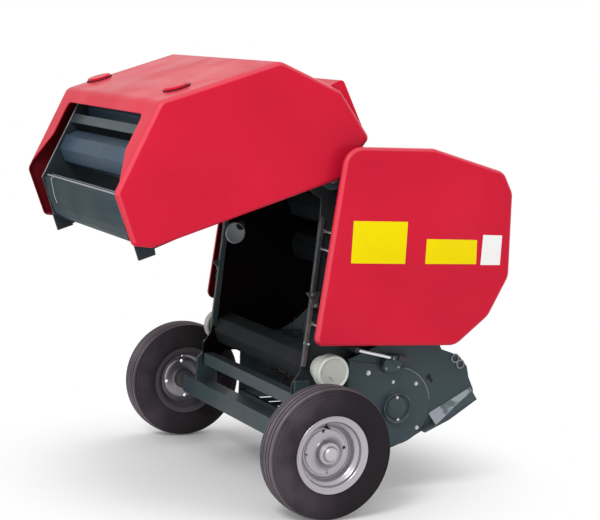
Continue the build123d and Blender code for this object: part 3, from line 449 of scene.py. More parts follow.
for side_name, side in SIDES:
    middle = at(0, side * WHEEL_Y, AXLE_Z)
    wheel = f"wheel_{side_name}"
    loop = [*TYRE_HALF, *[(-y, r) for y, r in reversed(TYRE_HALF[1:])]]
    tyre_mesh = turned(loop, side, middle, WHEEL_STEPS)
    finished(
        f"ribbed_tyre_{side_name}", tyre_mesh, rubber, wheel, sharp=40,
        instead=f"tyre_{side_name}",
    )
    rim_mesh = turned(RIM_LOOP, side, middle, WHEEL_STEPS)
    rim = finished(f"dished_rim_{side_name}", rim_mesh, rim_enamel, wheel, sharp=RIM_SHARP)
    cutter_mesh = bmesh.new()
    cuts = [(angle, HOLE_RING, HOLE_R) for angle in DISC_HOLES] + [(VALVE_ANGLE, VALVE_RING, VALVE_SLOT_R)]
    for angle, ring, radius in cuts:
        x, z = circled(0, AXLE_Z, ring, angle)
        drum(cutter_mesh, at(x, side * WHEEL_Y - CUT_HALF, z), (0, 1, 0), radius, 2 * CUT_HALF)
    cutter = placed("cutter", cutter_mesh)
    holes = rim.modifiers.new("holes", "BOOLEAN")
    holes.operation, holes.solver, holes.object = "DIFFERENCE", "EXACT", cutter
    bpy.context.view_layer.update()
    cut_rim = bpy.data.meshes.new_from_object(rim.evaluated_get(bpy.context.evaluated_depsgraph_get()))
    rim.modifiers.remove(holes)
    rim.data = cut_rim
    rim.data.set_sharp_from_angle(angle=math.radians(RIM_SHARP))
    bpy.data.objects.remove(cutter)
    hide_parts(f"rim_{side_name}")
    cap_loop = [(HUB_FACE + y, r) for y, r in CAP_LOOP]
    cap_mesh = turned(cap_loop, side, middle, 64)
    finished(
        f"hub_cap_{side_name}", cap_mesh, bright_zinc, wheel, sharp=40,
        instead=f"grease_cap_{side_name}",
    )
    valve_mesh = bmesh.new()
    stem = circled(0, AXLE_Z, VALVE_STEM, VALVE_ANGLE)
    outwards(stacked, valve_mesh, side, [stem], WHEEL_Y + VALVE_ROOT, VALVE)
    finished(f"valve_{side_name}", valve_mesh, hole_shade_and_rubber, wheel)

# Side walls: 6 mm steel plate with pressed bearing flanges and turned pins. Outside they are painted near
# black as painted shade under the covers, and inside the chamber painted shade makes them almost black
# but for a strip at the edge in the frame's coat.
WALL_IN, WALL_OUT, FLANGE_OUT = 350, 356, 368
WALL_SHADE_DARK = (0.024, 0.029, 0.033)
CHAMBER_SHADE = (0.005, 0.003, 0.004)
CHAMBER_X, CHAMBER_Z, PITCH_R = 25, 750, 335
FRONT_ANGLES = (73, 47, 21, -5, 279)
FLANGE_BOLT_RING, FLANGE_BOLT, FLANGE_BOLT_TURNS = 25.5, 8, (45, 135, 225, 315)
HINGE_X, HINGE_Z, HINGE_PIN_END, HINGE_HEAD = 62, 1015, 410, 19
BASE_PIN = (430, 700)
EDGE_STRIP = ((14.5, 432), (50.5, 878), (64.5, 878), (29.5, 432))
STRIP_SUNK, STRIP_PROUD = 0.2, 1.2
RING_PLACE = (84, 759)
RING_LOOP = ((0, 0), (0, 38), (-3.6, 37), (-5.4, 34.5), (-4.6, 31), (-2, 28), (-2, 0))
RECESS_PLACE, RECESS_R, RECESS_T = (103, 786), 17, 5
WORN_AND_HIGHLIGHT_GREY, WORN_CHIP, RING_GREY = (0.26, 0.26, 0.28), (0.45, 0.44, 0.46), (0.36, 0.37, 0.40)


def bolt(mesh, place, facing, across):
    """A hexagon bolt head on its washer, for a given width across its flats"""
    way = Vector(facing).normalized()
    drum(mesh, place, way, across * 0.68, 1.6, 20)
    drum(mesh, place + way * 0.0016, way, across * 0.577, across * 0.40, 6)


def plate(mesh, outline, near, far, place=at):
    """A flat plate with this outline from the side, between two distances from the middle plane"""
    face = mesh.faces.new([mesh.verts.new(place(x, near, z)) for x, z in outline])
    far_side = bmesh.ops.extrude_face_region(mesh, geom=[face])["geom"]
    moved = [v for v in far_side if isinstance(v, bmesh.types.BMVert)]
    bmesh.ops.translate(mesh, vec=(0, (far - near) / 1000, 0), verts=moved)


def on_ring(angle):
    """How far forward and up a roller's axle lies, by its angle on the chamber's ring"""
    return circled(CHAMBER_X, CHAMBER_Z, PITCH_R, angle)


def flange_bolts(mesh, side, angles, place):
    """Four bolts round each roller's bearing"""
    for angle in angles:
        for quarter in FLANGE_BOLT_TURNS:
            x, z = circled(*on_ring(angle), FLANGE_BOLT_RING, angle + quarter)
            bolt(mesh, place(x, side * FLANGE_OUT, z), (0, side, 0), FLANGE_BOLT)


# Painted shade: the walls' near-black grey stands in for the shade under the covers, and their chamber side
# is painted almost black
shaded_wall_enamel = enamel("shaded_wall_enamel", WALL_SHADE_DARK, rough=0.42, dusty=0.15, gloss=0.2)
shade_within(shaded_wall_enamel, (WALL_IN + 1.5) / 1000, CHAMBER_SHADE)
# This pale grey is worn steel on most parts, and a painted highlight along the chain cases' edges
worn_and_highlight_plate = enamel("worn_and_highlight_plate", WORN_AND_HIGHLIGHT_GREY, FRAME_DUST, WORN_CHIP, rough=0.45, dusty=0.3, metal=0.35)
for side_name, side in SIDES:
    dress(f"side_wall_{side_name}", shaded_wall_enamel)
    bolt_mesh = bmesh.new()
    flange_bolts(bolt_mesh, side, FRONT_ANGLES, at)
    outwards(bolt, bolt_mesh, side, [(HINGE_X, HINGE_Z)], HINGE_PIN_END - 1, HINGE_HEAD)
    finished(f"wall_bolts_{side_name}", bolt_mesh, bright_zinc)
    strip_mesh = bmesh.new()
    plate(strip_mesh, EDGE_STRIP, side * (WALL_IN + STRIP_SUNK), side * (WALL_IN - STRIP_PROUD))
    finished(f"wall_edge_strip_{side_name}", strip_mesh, frame_enamel, edge=0.0004)
ring_mesh = turned(RING_LOOP, 1, at(RING_PLACE[0], WALL_IN, RING_PLACE[1]), 48)
ring_steel = enamel("ring_steel", RING_GREY, rough=0.45, dusty=0.3, gloss=0.2)
finished("wall_ring", ring_mesh, ring_steel, sharp=50)
# Painted shade: a near-black disc inside the ring stands in for the shade in its recess
recess_mesh = bmesh.new()
drum(recess_mesh, at(RECESS_PLACE[0], WALL_IN, RECESS_PLACE[1]), (0, -1, 0), RECESS_R, RECESS_T)
finished("wall_ring_recess", recess_mesh, hole_shade_and_rubber)

# Stays and parting bars: turned distance pieces and long zinc-plated bolts between wall and cover, and
# a flat bar along the parting line with a pressed latch bracket
BAR_DARK, BAR_DUST = (0.040, 0.037, 0.043), (0.20, 0.18, 0.17)
STAY_BOLTS = ((66, 850, 470), (56, 796, 470), (38, 560, 470), (24, 498, 376))  # forward, up, outer end
STAY_BOLT_R, STAY_BOLT_HEAD, LEFT_COVER_LEAD = 3.8, 13, 50
WORN_BROWN, WORN_FROM, WORN_TO = (0.115, 0.095, 0.090), 0.68, 0.56
LATCH_BOLTS = ((30, 653), (44, 618))
LATCH_FACE, LATCH_BOLT = 372, 8
bar_enamel = enamel("bar_enamel", BAR_DARK, BAR_DUST, rough=0.45, dusty=0.25)
worn_bar = enamel("worn_bar", BAR_DARK, BAR_DUST, rough=0.45, dusty=0.25)
tree = worn_bar.node_tree
low_down = ramp(tree, part_of(tree, "TexCoord", "Object", "Z"), WORN_FROM, WORN_TO)
rubbed = joined(tree, "MULTIPLY", low_down, ramp(tree, noise(tree, 30.0, 5.0), 0.30, 0.60, 0.45, 1.0))
overlaid(worn_bar, rubbed, WORN_BROWN)
for side_name, side in SIDES:
    dress(f"cover_stays_{side_name}", frame_enamel)
    dress(f"parting_bar_{side_name}", worn_bar)
    stay_mesh = bmesh.new()
    for x, z, end in STAY_BOLTS:
        lead = LEFT_COVER_LEAD if side > 0 else 0
        foot = at(x + lead, side * WALL_OUT, z)
        drum(stay_mesh, foot, (0, side, 0), STAY_BOLT_R, end - WALL_OUT, 16)
        bolt(stay_mesh, foot, (0, side, 0), STAY_BOLT_HEAD)
    finished(f"stay_bolts_{side_name}", stay_mesh, bright_zinc)
    latch_mesh = bmesh.new()
    outwards(bolt, latch_mesh, side, LATCH_BOLTS, LATCH_FACE, LATCH_BOLT)
    finished(f"latch_bolts_{side_name}", latch_mesh, bright_zinc)

# Rollers: drums of 4 mm sheet pressed to eight faces, with turned shaft ends, in a blue-grey coat that
# the bales have worn bright along the ridges. The front rollers in the chamber get a near-black copy of
# the coat as painted shade
ROLLER_HALF, RIDGE_R, FACES, SHAFT_R = 344, 60.0, 8, 15
ROLLER_BLUE, ROLLER_SHADED = (0.038, 0.070, 0.105), (0.011, 0.014, 0.017)
GATE_ANGLES = (112, 139.5, 167, 194.5, 222, 249.5)
OPEN_ANGLE = 62.6


def on_gate(x, y, z):
    """A place on the raised tailgate in metres, counted from its hinge as when it is shut"""
    c, s = math.cos(math.radians(OPEN_ANGLE)), math.sin(math.radians(OPEN_ANGLE))
    return at(HINGE_X + x * c + z * s, y, HINGE_Z - x * s + z * c)


def gate_place(x, y, z):
    """A place on the raised tailgate in metres, counted as at() does with the tailgate shut"""
    return on_gate(x - HINGE_X, y, z - HINGE_Z)


def faceted(mesh, start, direction, length, faces, ridge, valley=None, steps=8):
    """A bar with flat or hollow faces between rounded ridges"""
    ring = bmesh.ops.create_circle(mesh, cap_ends=True, segments=faces * steps, radius=1.0)["verts"]
    half = math.pi / faces
    for vert in ring:
        off = (math.atan2(vert.co.y, vert.co.x) + math.tau) % (2 * half) - half
        flat = ridge * math.cos(half) / math.cos(off)
        if valley:
            flat = valley if abs(off) < half * 0.5 else ridge
        vert.co *= min(flat, ridge * 0.994) / 1000
    made = bmesh.ops.extrude_face_region(mesh, geom=list(ring[0].link_faces))["geom"]
    far = [v for v in made if isinstance(v, bmesh.types.BMVert)]
    bmesh.ops.translate(mesh, vec=(0, 0, length / 1000), verts=far)
    stand = Vector(direction).to_track_quat("Z", "Y").to_matrix().to_4x4()
    bmesh.ops.transform(mesh, matrix=Matrix.Translation(start) @ stand, verts=ring + far)


roller_enamel = enamel("roller_enamel", ROLLER_BLUE, rough=0.40, dusty=0.12, worn=0.7, gloss=0.15)
# Painted shade: the chamber's front rollers get a near-black copy of the roller coat
shaded_roller = enamel("shaded_roller", ROLLER_SHADED, rough=0.5, dusty=0.05, gloss=0.06)
for kind, angles, place, paint in (
    ("front", FRONT_ANGLES, at, shaded_roller),
    ("gate", GATE_ANGLES, gate_place, roller_enamel),
):
    for number, angle in enumerate(angles, 1):
        x, z = on_ring(angle)
        node = f"{kind}_roller_{number}"
        roller_mesh = bmesh.new()
        faceted(roller_mesh, place(x, -ROLLER_HALF, z), (0, 1, 0), 2 * ROLLER_HALF, FACES, RIDGE_R)
        drum(roller_mesh, place(x, -FLANGE_OUT, z), (0, 1, 0), SHAFT_R, 2 * FLANGE_OUT)
        finished(
            f"pressed_{node}", roller_mesh, paint, node, sharp=25, edge=0.0012,
            instead=node,
        )

# Bearing caps: pressed drum-shaped covers in a light grey-green over the lowest roller's bearings,
# each with a rolled rim, two screws and a grease nipple. The rim is painted a paler green as a painted
# highlight
CAP_GREEN, CAP_RIM_HIGHLIGHT = (0.55, 0.565, 0.52), (0.74, 0.76, 0.71)
CAP_DUST, CAP_CHIP = (0.36, 0.33, 0.27), (0.25, 0.24, 0.22)
CAP_FACE = 450
CAP_RIM = ((-0.5, 44), (1, 45), (3.2, 46.4), (4, 48.6), (3.2, 51), (0.5, 52.6), (-1, 50))
CAP_SCREWS, CAP_NIPPLE = ((35, 437), (116, 440)), (66, 408)
CAP_SCREW = (4.2, 2.4, 20, 3.2)  # radius, length, steps, far radius, as for the nipple
NIPPLE = ((3.6, 4.0, 6), (2.4, 5.0, 16, 1.6))
cap_enamel = enamel("cap_enamel", CAP_GREEN, CAP_DUST, CAP_CHIP, rough=0.4, coat=0.1, dusty=0.3, gloss=0.25)
# Painted highlight: the rolled rim gets a paler copy of the cap's green
cap_rim_highlight = enamel("cap_rim_highlight", CAP_RIM_HIGHLIGHT, CAP_DUST, CAP_CHIP, rough=0.4, coat=0.1, dusty=0.3)
cap_x, cap_z = on_ring(FRONT_ANGLES[-1])
for side_name, side in SIDES:
    dress(f"bearing_cap_{side_name}", cap_enamel)
    rim_mesh = turned(CAP_RIM, side, at(cap_x, side * CAP_FACE, cap_z), 64)
    finished(f"cap_rim_{side_name}", rim_mesh, cap_rim_highlight, sharp=60)
    screw_mesh = bmesh.new()
    outwards(drum, screw_mesh, side, CAP_SCREWS, CAP_FACE, *CAP_SCREW)
    outwards(stacked, screw_mesh, side, [CAP_NIPPLE], CAP_FACE, NIPPLE)
    finished(f"cap_screws_{side_name}", screw_mesh, bright_zinc)

# Front hood and twine box: bent steel sheet in the frame's coat. The box is bolted to the hood and has
# folded rims and two twine eyes
BIN_REAR, BIN_FRONT, BIN_HALF, BIN_FOOT, BIN_TOP = 447, 567, 320, 868, 998
FOLD_DEPTH, FOLD_T = 14, 3
TWINE_EYES, EYE_UP, EYE_R, EYE_WIRE = (-160, 160), 40, 11, 2.6
BIN_BOLT_OFF, BIN_BOLT_UP, BIN_BOLT = 60, 25, 13
for node in ("front_hood", "twine_box"):
    dress(node, frame_enamel)


def block(mesh, low, high):
    """A straight block between two corners"""
    middle, size = (low + high) / 2, high - low
    spread = Matrix.Diagonal((size.x, size.y, size.z, 1.0))
    bmesh.ops.create_cube(mesh, size=1.0, matrix=Matrix.Translation(middle) @ spread)


def hoop(mesh, place, facing, radius, wire, steps=28):
    """A closed ring of round wire"""
    others = set(mesh.verts)
    lie = Matrix.Translation((radius / 1000, 0, 0)) @ Matrix.Rotation(math.pi / 2, 4, "X")
    ring = bmesh.ops.create_circle(mesh, cap_ends=False, segments=10, radius=wire / 1000, matrix=lie)
    section = ring["verts"] + list({edge for vert in ring["verts"] for edge in vert.link_edges})
    bmesh.ops.spin(
        mesh, geom=section, cent=(0, 0, 0), axis=(0, 0, 1), angle=math.tau, steps=steps, use_merge=True
    )
    stand = Vector(facing).to_track_quat("Z", "Y").to_matrix().to_4x4()
    made = [v for v in mesh.verts if v not in others]
    bmesh.ops.transform(mesh, matrix=Matrix.Translation(place) @ stand, verts=made)


rim_mesh = bmesh.new()
rim_foot = BIN_TOP - FOLD_DEPTH
block(rim_mesh, at(BIN_FRONT, -BIN_HALF, rim_foot), at(BIN_FRONT + FOLD_T, BIN_HALF, BIN_TOP))
for side_name, side in SIDES:
    near, far = sorted((side * BIN_HALF, side * (BIN_HALF + FOLD_T)))
    block(rim_mesh, at(BIN_REAR, near, rim_foot), at(BIN_FRONT, far, BIN_TOP))
for y in TWINE_EYES:
    hoop(rim_mesh, at(BIN_FRONT + FOLD_T, y, BIN_FOOT + EYE_UP), (1, 0, 0), EYE_R, EYE_WIRE)
    for off in (BIN_BOLT_OFF, -BIN_BOLT_OFF):
        bolt(rim_mesh, at(BIN_FRONT, y + off, BIN_FOOT + BIN_BOLT_UP), (1, 0, 0), BIN_BOLT)
finished("twine_box_rim", rim_mesh, frame_enamel, edge=0.0006)

# Hitch: cheeks, mast and cross tube welded from plate, with turned category 1 pins that linch pins
# close, and the drive's cast gearbox behind a splined stub under a moulded guard
LINK_X, LINK_Z, LINK_SHOULDER, PIN_END = 655, 598, 341.5, 386.5
LINCH_IN, LINCH_R, LINCH_LENGTH = 7, 4.0, 34
LINCH_RING_R, LINCH_WIRE, LINCH_RING_OFF = 17, 1.8, Vector((0.012, 0, 0.016))
COLLAR_R, COLLAR_T = 17, 5
CHEEK_X, CHEEK_Y, CHEEK_FOOT, CHEEK_TOP = 570, 330, 592, 648
NECK_X, NECK_BOLTS, NECK_BOLT = 590, ((-51, 716), (51, 716), (-51, 784), (51, 784)), 13
BOX_X, BOX_HALF, BOX_TOP, BREATHER = 500, 75, 832, ((9, 6, 6), (5, 8, 16, 4))
PLUG_PLACE, PLUG = (540, 700), 17
TUBE_X, PTO_Z, TUBE_RING, TUBE_TURNS, TUBE_BOLT = 520, 750, 48, (30, 90, 150, 210, 270, 330), 10
STUB_START, SPLINE_START, GROOVE_START, GROOVE_END, STUB_END = 561, 613, 659, 667, 700
STUB_R, GROOVE_R, SPLINES = 15, 14.8, (6, 17.5, 14.9, 12)  # number, crest, root, steps for each
GUARD_BLACK, GUARD_DUST, GUARD_CHIP = (0.020, 0.020, 0.021), (0.16, 0.15, 0.13), (0.05, 0.05, 0.05)
dress("hitch_frame", frame_enamel)
dress("gearbox", bar_enamel)
guard_plastic = enamel("guard_plastic", GUARD_BLACK, GUARD_DUST, GUARD_CHIP, rough=0.5, dusty=0.3)
dress("drive_guard", guard_plastic)
hitch_mesh = bmesh.new()
weld_mesh = bmesh.new()
for side_name, side in SIDES:
    hole = at(LINK_X, side * (PIN_END - LINCH_IN), LINK_Z)
    drum(hitch_mesh, hole - Vector((0, 0, LINCH_LENGTH / 2000)), (0, 0, 1), LINCH_R, LINCH_LENGTH, 16)
    hoop(hitch_mesh, hole + LINCH_RING_OFF, (0, 1, 0), LINCH_RING_R, LINCH_WIRE)
    outwards(drum, hitch_mesh, side, [(LINK_X, LINK_Z)], LINK_SHOULDER, COLLAR_R, COLLAR_T)
    bead(weld_mesh, at(CHEEK_X, side * CHEEK_Y, CHEEK_FOOT), at(CHEEK_X, side * CHEEK_Y, CHEEK_TOP))
for y, z in NECK_BOLTS:
    bolt(hitch_mesh, at(NECK_X, y, z), (1, 0, 0), NECK_BOLT)
stacked(hitch_mesh, at(BOX_X, 0, BOX_TOP), (0, 0, 1), BREATHER)
outwards(bolt, hitch_mesh, -1, [PLUG_PLACE], BOX_HALF, PLUG)
for side_name, side in SIDES:
    ring = [circled(TUBE_X, PTO_Z, TUBE_RING, angle) for angle in TUBE_TURNS]
    outwards(bolt, hitch_mesh, side, ring, BOX_HALF, TUBE_BOLT)
finished("hitch_bolts", hitch_mesh, bright_zinc)
finished("hitch_weld_beads", weld_mesh, frame_enamel)
stub_mesh = bmesh.new()
drum(stub_mesh, at(STUB_START, 0, PTO_Z), (1, 0, 0), STUB_R, SPLINE_START - STUB_START)
for start, end in ((SPLINE_START, GROOVE_START), (GROOVE_END, STUB_END)):
    faceted(stub_mesh, at(start, 0, PTO_Z), (1, 0, 0), end - start, *SPLINES)
drum(stub_mesh, at(GROOVE_START, 0, PTO_Z), (1, 0, 0), GROOVE_R, GROOVE_END - GROOVE_START)
finished(
    "splined_stub", stub_mesh, bright_zinc, "drive_stub", edge=0.0004,
    instead="drive_stub",
)

# Parking leg: square tube with a welded foot plate and a row of holes for its locking pin, drawn as
# dark discs of painted shade. It slides in a sleeve that is welded to the frame
LEG_X, LEG_Y, LEG_HALF, SLEEVE_HALF, FOOT_TOP = 582, 450, 15, 21, 8
LEG_HOLES, LEG_HOLE_R, LEG_HOLE_SUNK, LEG_HOLE_PROUD = range(60, 600, 45), 6, 1, 0.03
LOCK_Z, LOCK_R, LOCK_LENGTH = 652, 5, 14
LOCK_RING_Z, LOCK_RING_R, LOCK_RING_OUT, LOCK_WIRE = 639, 13, 9, 2.2
dress("leg_sleeve", frame_enamel)
dress("parking_leg", bar_enamel)
# Painted shade: the holes are dark discs set just into the leg's faces
leg_holes = bmesh.new()
leg_weld = bmesh.new()
for side_name, side in SIDES:
    for z in LEG_HOLES:
        hole = at(LEG_X, LEG_Y + side * (LEG_HALF - LEG_HOLE_SUNK), z)
        drum(leg_holes, hole, (0, side, 0), LEG_HOLE_R, LEG_HOLE_SUNK + LEG_HOLE_PROUD)
    y = LEG_Y + side * LEG_HALF
    bead(leg_weld, at(LEG_X - LEG_HALF, y, FOOT_TOP), at(LEG_X + LEG_HALF, y, FOOT_TOP))
finished("leg_holes", leg_holes, hole_shade_and_rubber, "parking_leg")
leg_pin = bmesh.new()
drum(leg_pin, at(LEG_X, LEG_Y + SLEEVE_HALF - 1, LOCK_Z), (0, 1, 0), LOCK_R, LOCK_LENGTH)
ring_place = at(LEG_X, LEG_Y + SLEEVE_HALF + LOCK_RING_OUT, LOCK_RING_Z)
hoop(leg_pin, ring_place, (0, 1, 0), LOCK_RING_R, LOCK_WIRE)
finished("leg_locking_pin", leg_pin, bright_zinc)
finished("leg_weld_beads", leg_weld, bar_enamel, "parking_leg")

# Pickup sides: plate with a bolted chain case, a dished hub cover and a wear blade along the lip, all
# in the frame's coat, the blade polished by the ground
PICKUP_FACE, CASE_FACE, HUB_FACE_Y, LIP_FACE = 406, 412, 418, 430
REEL_X, REEL_Z = 324, 294
CASE_BOLTS = ((220, 407, 12), (312, 374, 8), (396, 365, 10), (408, 221, 10))  # forward, up, across flats
ARC_R, ARC_TURNS, ARC_WIRE, ARC_SUNK = 127, range(8, 84, 10), 1.5, 0.4
HUB_COVER = (
    (0, 0), (0, 48.5), (4, 50), (9, 48.6), (10, 45.6), (8, 43), (2.4, 41), (1.6, 39),
    (5.5, 35), (9.5, 27), (12, 16), (13, 0),
)
HUB_MIDDLE, HUB_BOLTS = (327, 291), ((324, 325), (331, 254))
PLATE_HOLES = ((446, 383, 9.5), (456, 371, 6.5))  # forward, up, radius
CHAIN_RINGS = ((540, 441), (561, 421))
BLADE_TOP = ((453, 264), (530, 303), (605, 342))
BLADE_EDGE = ((615, 311), (548, 272), (470, 228))
HUB_BOLT, HUB_BOLT_OUT = 8, 3.5
HOLE_SUNK, HOLE_T = 0.5, 0.9
CHAIN_OUT, CHAIN_R, CHAIN_WIRE = 2.5, 13, 2.6
BLADE_OFF, BLADE_T = 0.6, 0.002
BLADE_STEEL, BLADE_CHIP, BLADE_PAINT = (0.30, 0.33, 0.37), (0.55, 0.55, 0.56), (0.075, 0.095, 0.105)
WORN_SHARE = (0.32, 0.62, 1.0)  # how far down the blade is worn at its front, middle and rear


def rods(mesh, spots, radius, steps=8, tip=None):
    """Straight round rods from spot to spot"""
    for start, end in zip(spots, spots[1:]):
        drum(mesh, start, end - start, radius, (end - start).length * 1000, steps, tip)


blade_steel = enamel(
    "blade_steel", BLADE_STEEL, FRAME_DUST, BLADE_CHIP, rough=0.45, dusty=0.35, gloss=0.2
)
tree = blade_steel.node_tree
overlaid(blade_steel, ramp(tree, noise(tree, 26.0, 4.0), 0.52, 0.64, 0.0, 0.8), BLADE_PAINT)
for side_name, side in SIDES:
    dress(f"pickup_side_{side_name}", frame_enamel)
    bolt_mesh = bmesh.new()
    outwards(bolt, bolt_mesh, side, CASE_BOLTS, CASE_FACE)
    outwards(bolt, bolt_mesh, side, HUB_BOLTS, HUB_FACE_Y + HUB_BOLT_OUT, HUB_BOLT)
    # Painted highlight: a thin rod in the pale grey draws the light line along the chain case's edge
    arc = [circled(REEL_X, REEL_Z, ARC_R, angle) for angle in ARC_TURNS]
    ridge_mesh = bmesh.new()
    rods(ridge_mesh, [at(x, side * (CASE_FACE - ARC_SUNK), z) for x, z in arc], ARC_WIRE)
    finished(f"case_ridge_{side_name}", ridge_mesh, worn_and_highlight_plate)
    finished(f"case_bolts_{side_name}", bolt_mesh, bright_zinc)
    cover_mesh = turned(HUB_COVER, side, at(HUB_MIDDLE[0], side * HUB_FACE_Y, HUB_MIDDLE[1]), 64)
    finished(f"reel_hub_cover_{side_name}", cover_mesh, frame_enamel, sharp=40)
    # Painted shade: dark discs on the plate stand in for the shade in two holes
    hole_mesh = bmesh.new()
    outwards(drum, hole_mesh, side, PLATE_HOLES, PICKUP_FACE - HOLE_SUNK, HOLE_T)
    finished(f"plate_hole_{side_name}", hole_mesh, hole_shade_and_rubber)
    ring_mesh = bmesh.new()
    for x, z in CHAIN_RINGS:
        hoop(ring_mesh, at(x, side * (PICKUP_FACE + CHAIN_OUT), z), (0, 1, 0), CHAIN_R, CHAIN_WIRE)
    finished(f"chain_rings_{side_name}", ring_mesh, worn_and_highlight_plate)
    top = [at(x, side * (PICKUP_FACE + BLADE_OFF), z) for x, z in BLADE_TOP]
    low = [at(x, side * (LIP_FACE - BLADE_OFF), z) for x, z in reversed(BLADE_EDGE)]
    middle = [up.lerp(down, share) for up, down, share in zip(top, low, reversed(WORN_SHARE))]
    bands = (("worn", top, middle, blade_steel), ("painted", middle, low, frame_enamel))
    for part, upper, lower, paint in bands:
        blade_mesh = bmesh.new()
        rows = [[blade_mesh.verts.new(spot) for spot in row] for row in (upper, lower)]
        for here in range(2):
            blade_mesh.faces.new((rows[0][here], rows[0][here + 1], rows[1][here + 1], rows[1][here]))
        bmesh.ops.remove_doubles(blade_mesh, verts=blade_mesh.verts, dist=0.00001)
        bmesh.ops.solidify(blade_mesh, geom=blade_mesh.faces, thickness=BLADE_T)
        finished(f"wear_blade_{part}_{side_name}", blade_mesh, paint)

# Height rods: round chromed bars on turned posts, each held at the front by a folded lug that two
# screws hold to the chain case. A short dark plate behind the lug paints the shade in the slot there
ROD_ENDS, ROD_Y, ROD_R, POST_R = ((160, 487), (294, 456)), 438, 6, 9
BRACKET = ((268, 446), (262, 418), (274, 408), (322, 412), (334, 440), (318, 462), (284, 466))
SLOT_SHADE = ((312, 448), (352, 440), (356, 452), (318, 464))
BRACKET_IN, BRACKET_OUT = 406, 432
ROD_SCREWS, SCREW_R, SCREW_H = ((273, 423), (316, 426)), 4.5, 4
POST_PROUD, COLLAR_AT, COLLAR_OVER, COLLAR_LENGTH = 6, 0.02, 2.5, 10
CHROME, CHROME_DUST, CHROME_CHIP = (0.72, 0.72, 0.74), (0.4, 0.38, 0.35), (0.8, 0.8, 0.8)
chrome = enamel("chrome", CHROME, CHROME_DUST, CHROME_CHIP, rough=0.14, dusty=0.1, metal=1.0, gloss=0.5)
for side_name, side in SIDES:
    rear, front = (at(x, side * ROD_Y, z) for x, z in ROD_ENDS)
    rod_mesh = bmesh.new()
    rods(rod_mesh, (rear, front), ROD_R, 24)
    finished(
        f"height_rod_{side_name}", rod_mesh, chrome, instead=f"pickup_rod_{side_name}"
    )
    post_mesh = bmesh.new()
    outwards(drum, post_mesh, side, ROD_ENDS[:1], WALL_OUT, POST_R, ROD_Y + POST_PROUD - WALL_OUT)
    collar = front + (rear - front) * COLLAR_AT
    drum(post_mesh, collar, rear - front, ROD_R + COLLAR_OVER, COLLAR_LENGTH, 20)
    # Painted shade: a dark plate behind the lug stands in for the shade in the slot there
    plate(post_mesh, SLOT_SHADE, side * BRACKET_IN, side * (BRACKET_OUT + POST_PROUD))
    post_name = f"rod_post_and_slot_shade_{side_name}"
    finished(
        post_name, post_mesh, bar_enamel, edge=0.0008, instead=f"pickup_rod_{side_name}"
    )
    lug_mesh = bmesh.new()
    plate(lug_mesh, BRACKET, side * BRACKET_IN, side * BRACKET_OUT)
    finished(f"rod_lug_{side_name}", lug_mesh, frame_enamel, edge=0.003)
    screw_mesh = bmesh.new()
    outwards(drum, screw_mesh, side, ROD_SCREWS, BRACKET_OUT - 1, SCREW_R, SCREW_H, 6)
    finished(f"lug_screws_{side_name}", screw_mesh, worn_and_highlight_plate)

# Pickup reel: a shaft with three welded spiders and four bars. Double spring tines of 5.5 mm wire are
# coiled round the bars and pass between the bands, which are riveted to two cross bars
SHAFT_HALF, REEL_SHAFT_R = 416, 16
SPIDERS_Y, SPIDER_HALF, SPIDER_R, ARM_ROOT, ARM_HALF = (-379, 0, 379), 5, 40, 16, 13
BAR_RING, BAR_R, BAR_HALF, TINE_TIP = 88, 12, 384, 163
TINE_PITCH, TINE_WIRE, TINE_POINT, COIL_R, COIL_TURNS = 74, 2.75, 2.0, 15.2, 3
COIL_STEPS, COIL_GAP, COIL_LENGTH, HUG_LENGTH = 14, 0.2, 16.8, 14
PAIRS, CLAMP = (-296, -148, 0, 148, 296), Vector((0.015, 0.009, 0.015))
BAND_ENDS, BAND_R, BANDS = ((158, 1), (160, -1)), 123.5, range(-4, 5)
RIVET_OFFS, RIVET_R, RIVET_H, RIVET_TOP = (-14, 14), 4.5, 2.4, 3.0
TINE_COLOUR, TINE_DUST, TINE_CHIP = (0.050, 0.046, 0.046), (0.16, 0.14, 0.12), (0.10, 0.09, 0.09)


def coil(mesh, middle, side, start_turn):
    """A close coil of wire round a crosswise bar"""
    others = set(mesh.verts)
    lie = Matrix.Rotation(-start_turn, 4, "Y") @ Matrix.Translation((COIL_R / 1000, 0, 0))
    ring = bmesh.ops.create_circle(mesh, cap_ends=False, segments=8, radius=TINE_WIRE / 1000, matrix=lie)
    section = ring["verts"] + list({edge for vert in ring["verts"] for edge in vert.link_edges})
    steps = COIL_TURNS * COIL_STEPS
    rise = -side * (2 * TINE_WIRE + COIL_GAP) * COIL_TURNS / steps / 1000
    bmesh.ops.spin(
        mesh, geom=section, cent=(0, 0, 0), axis=(0, 1, 0), dvec=(0, rise, 0),
        angle=math.tau * COIL_TURNS, steps=steps,
    )
    bmesh.ops.translate(mesh, vec=middle, verts=[v for v in mesh.verts if v not in others])


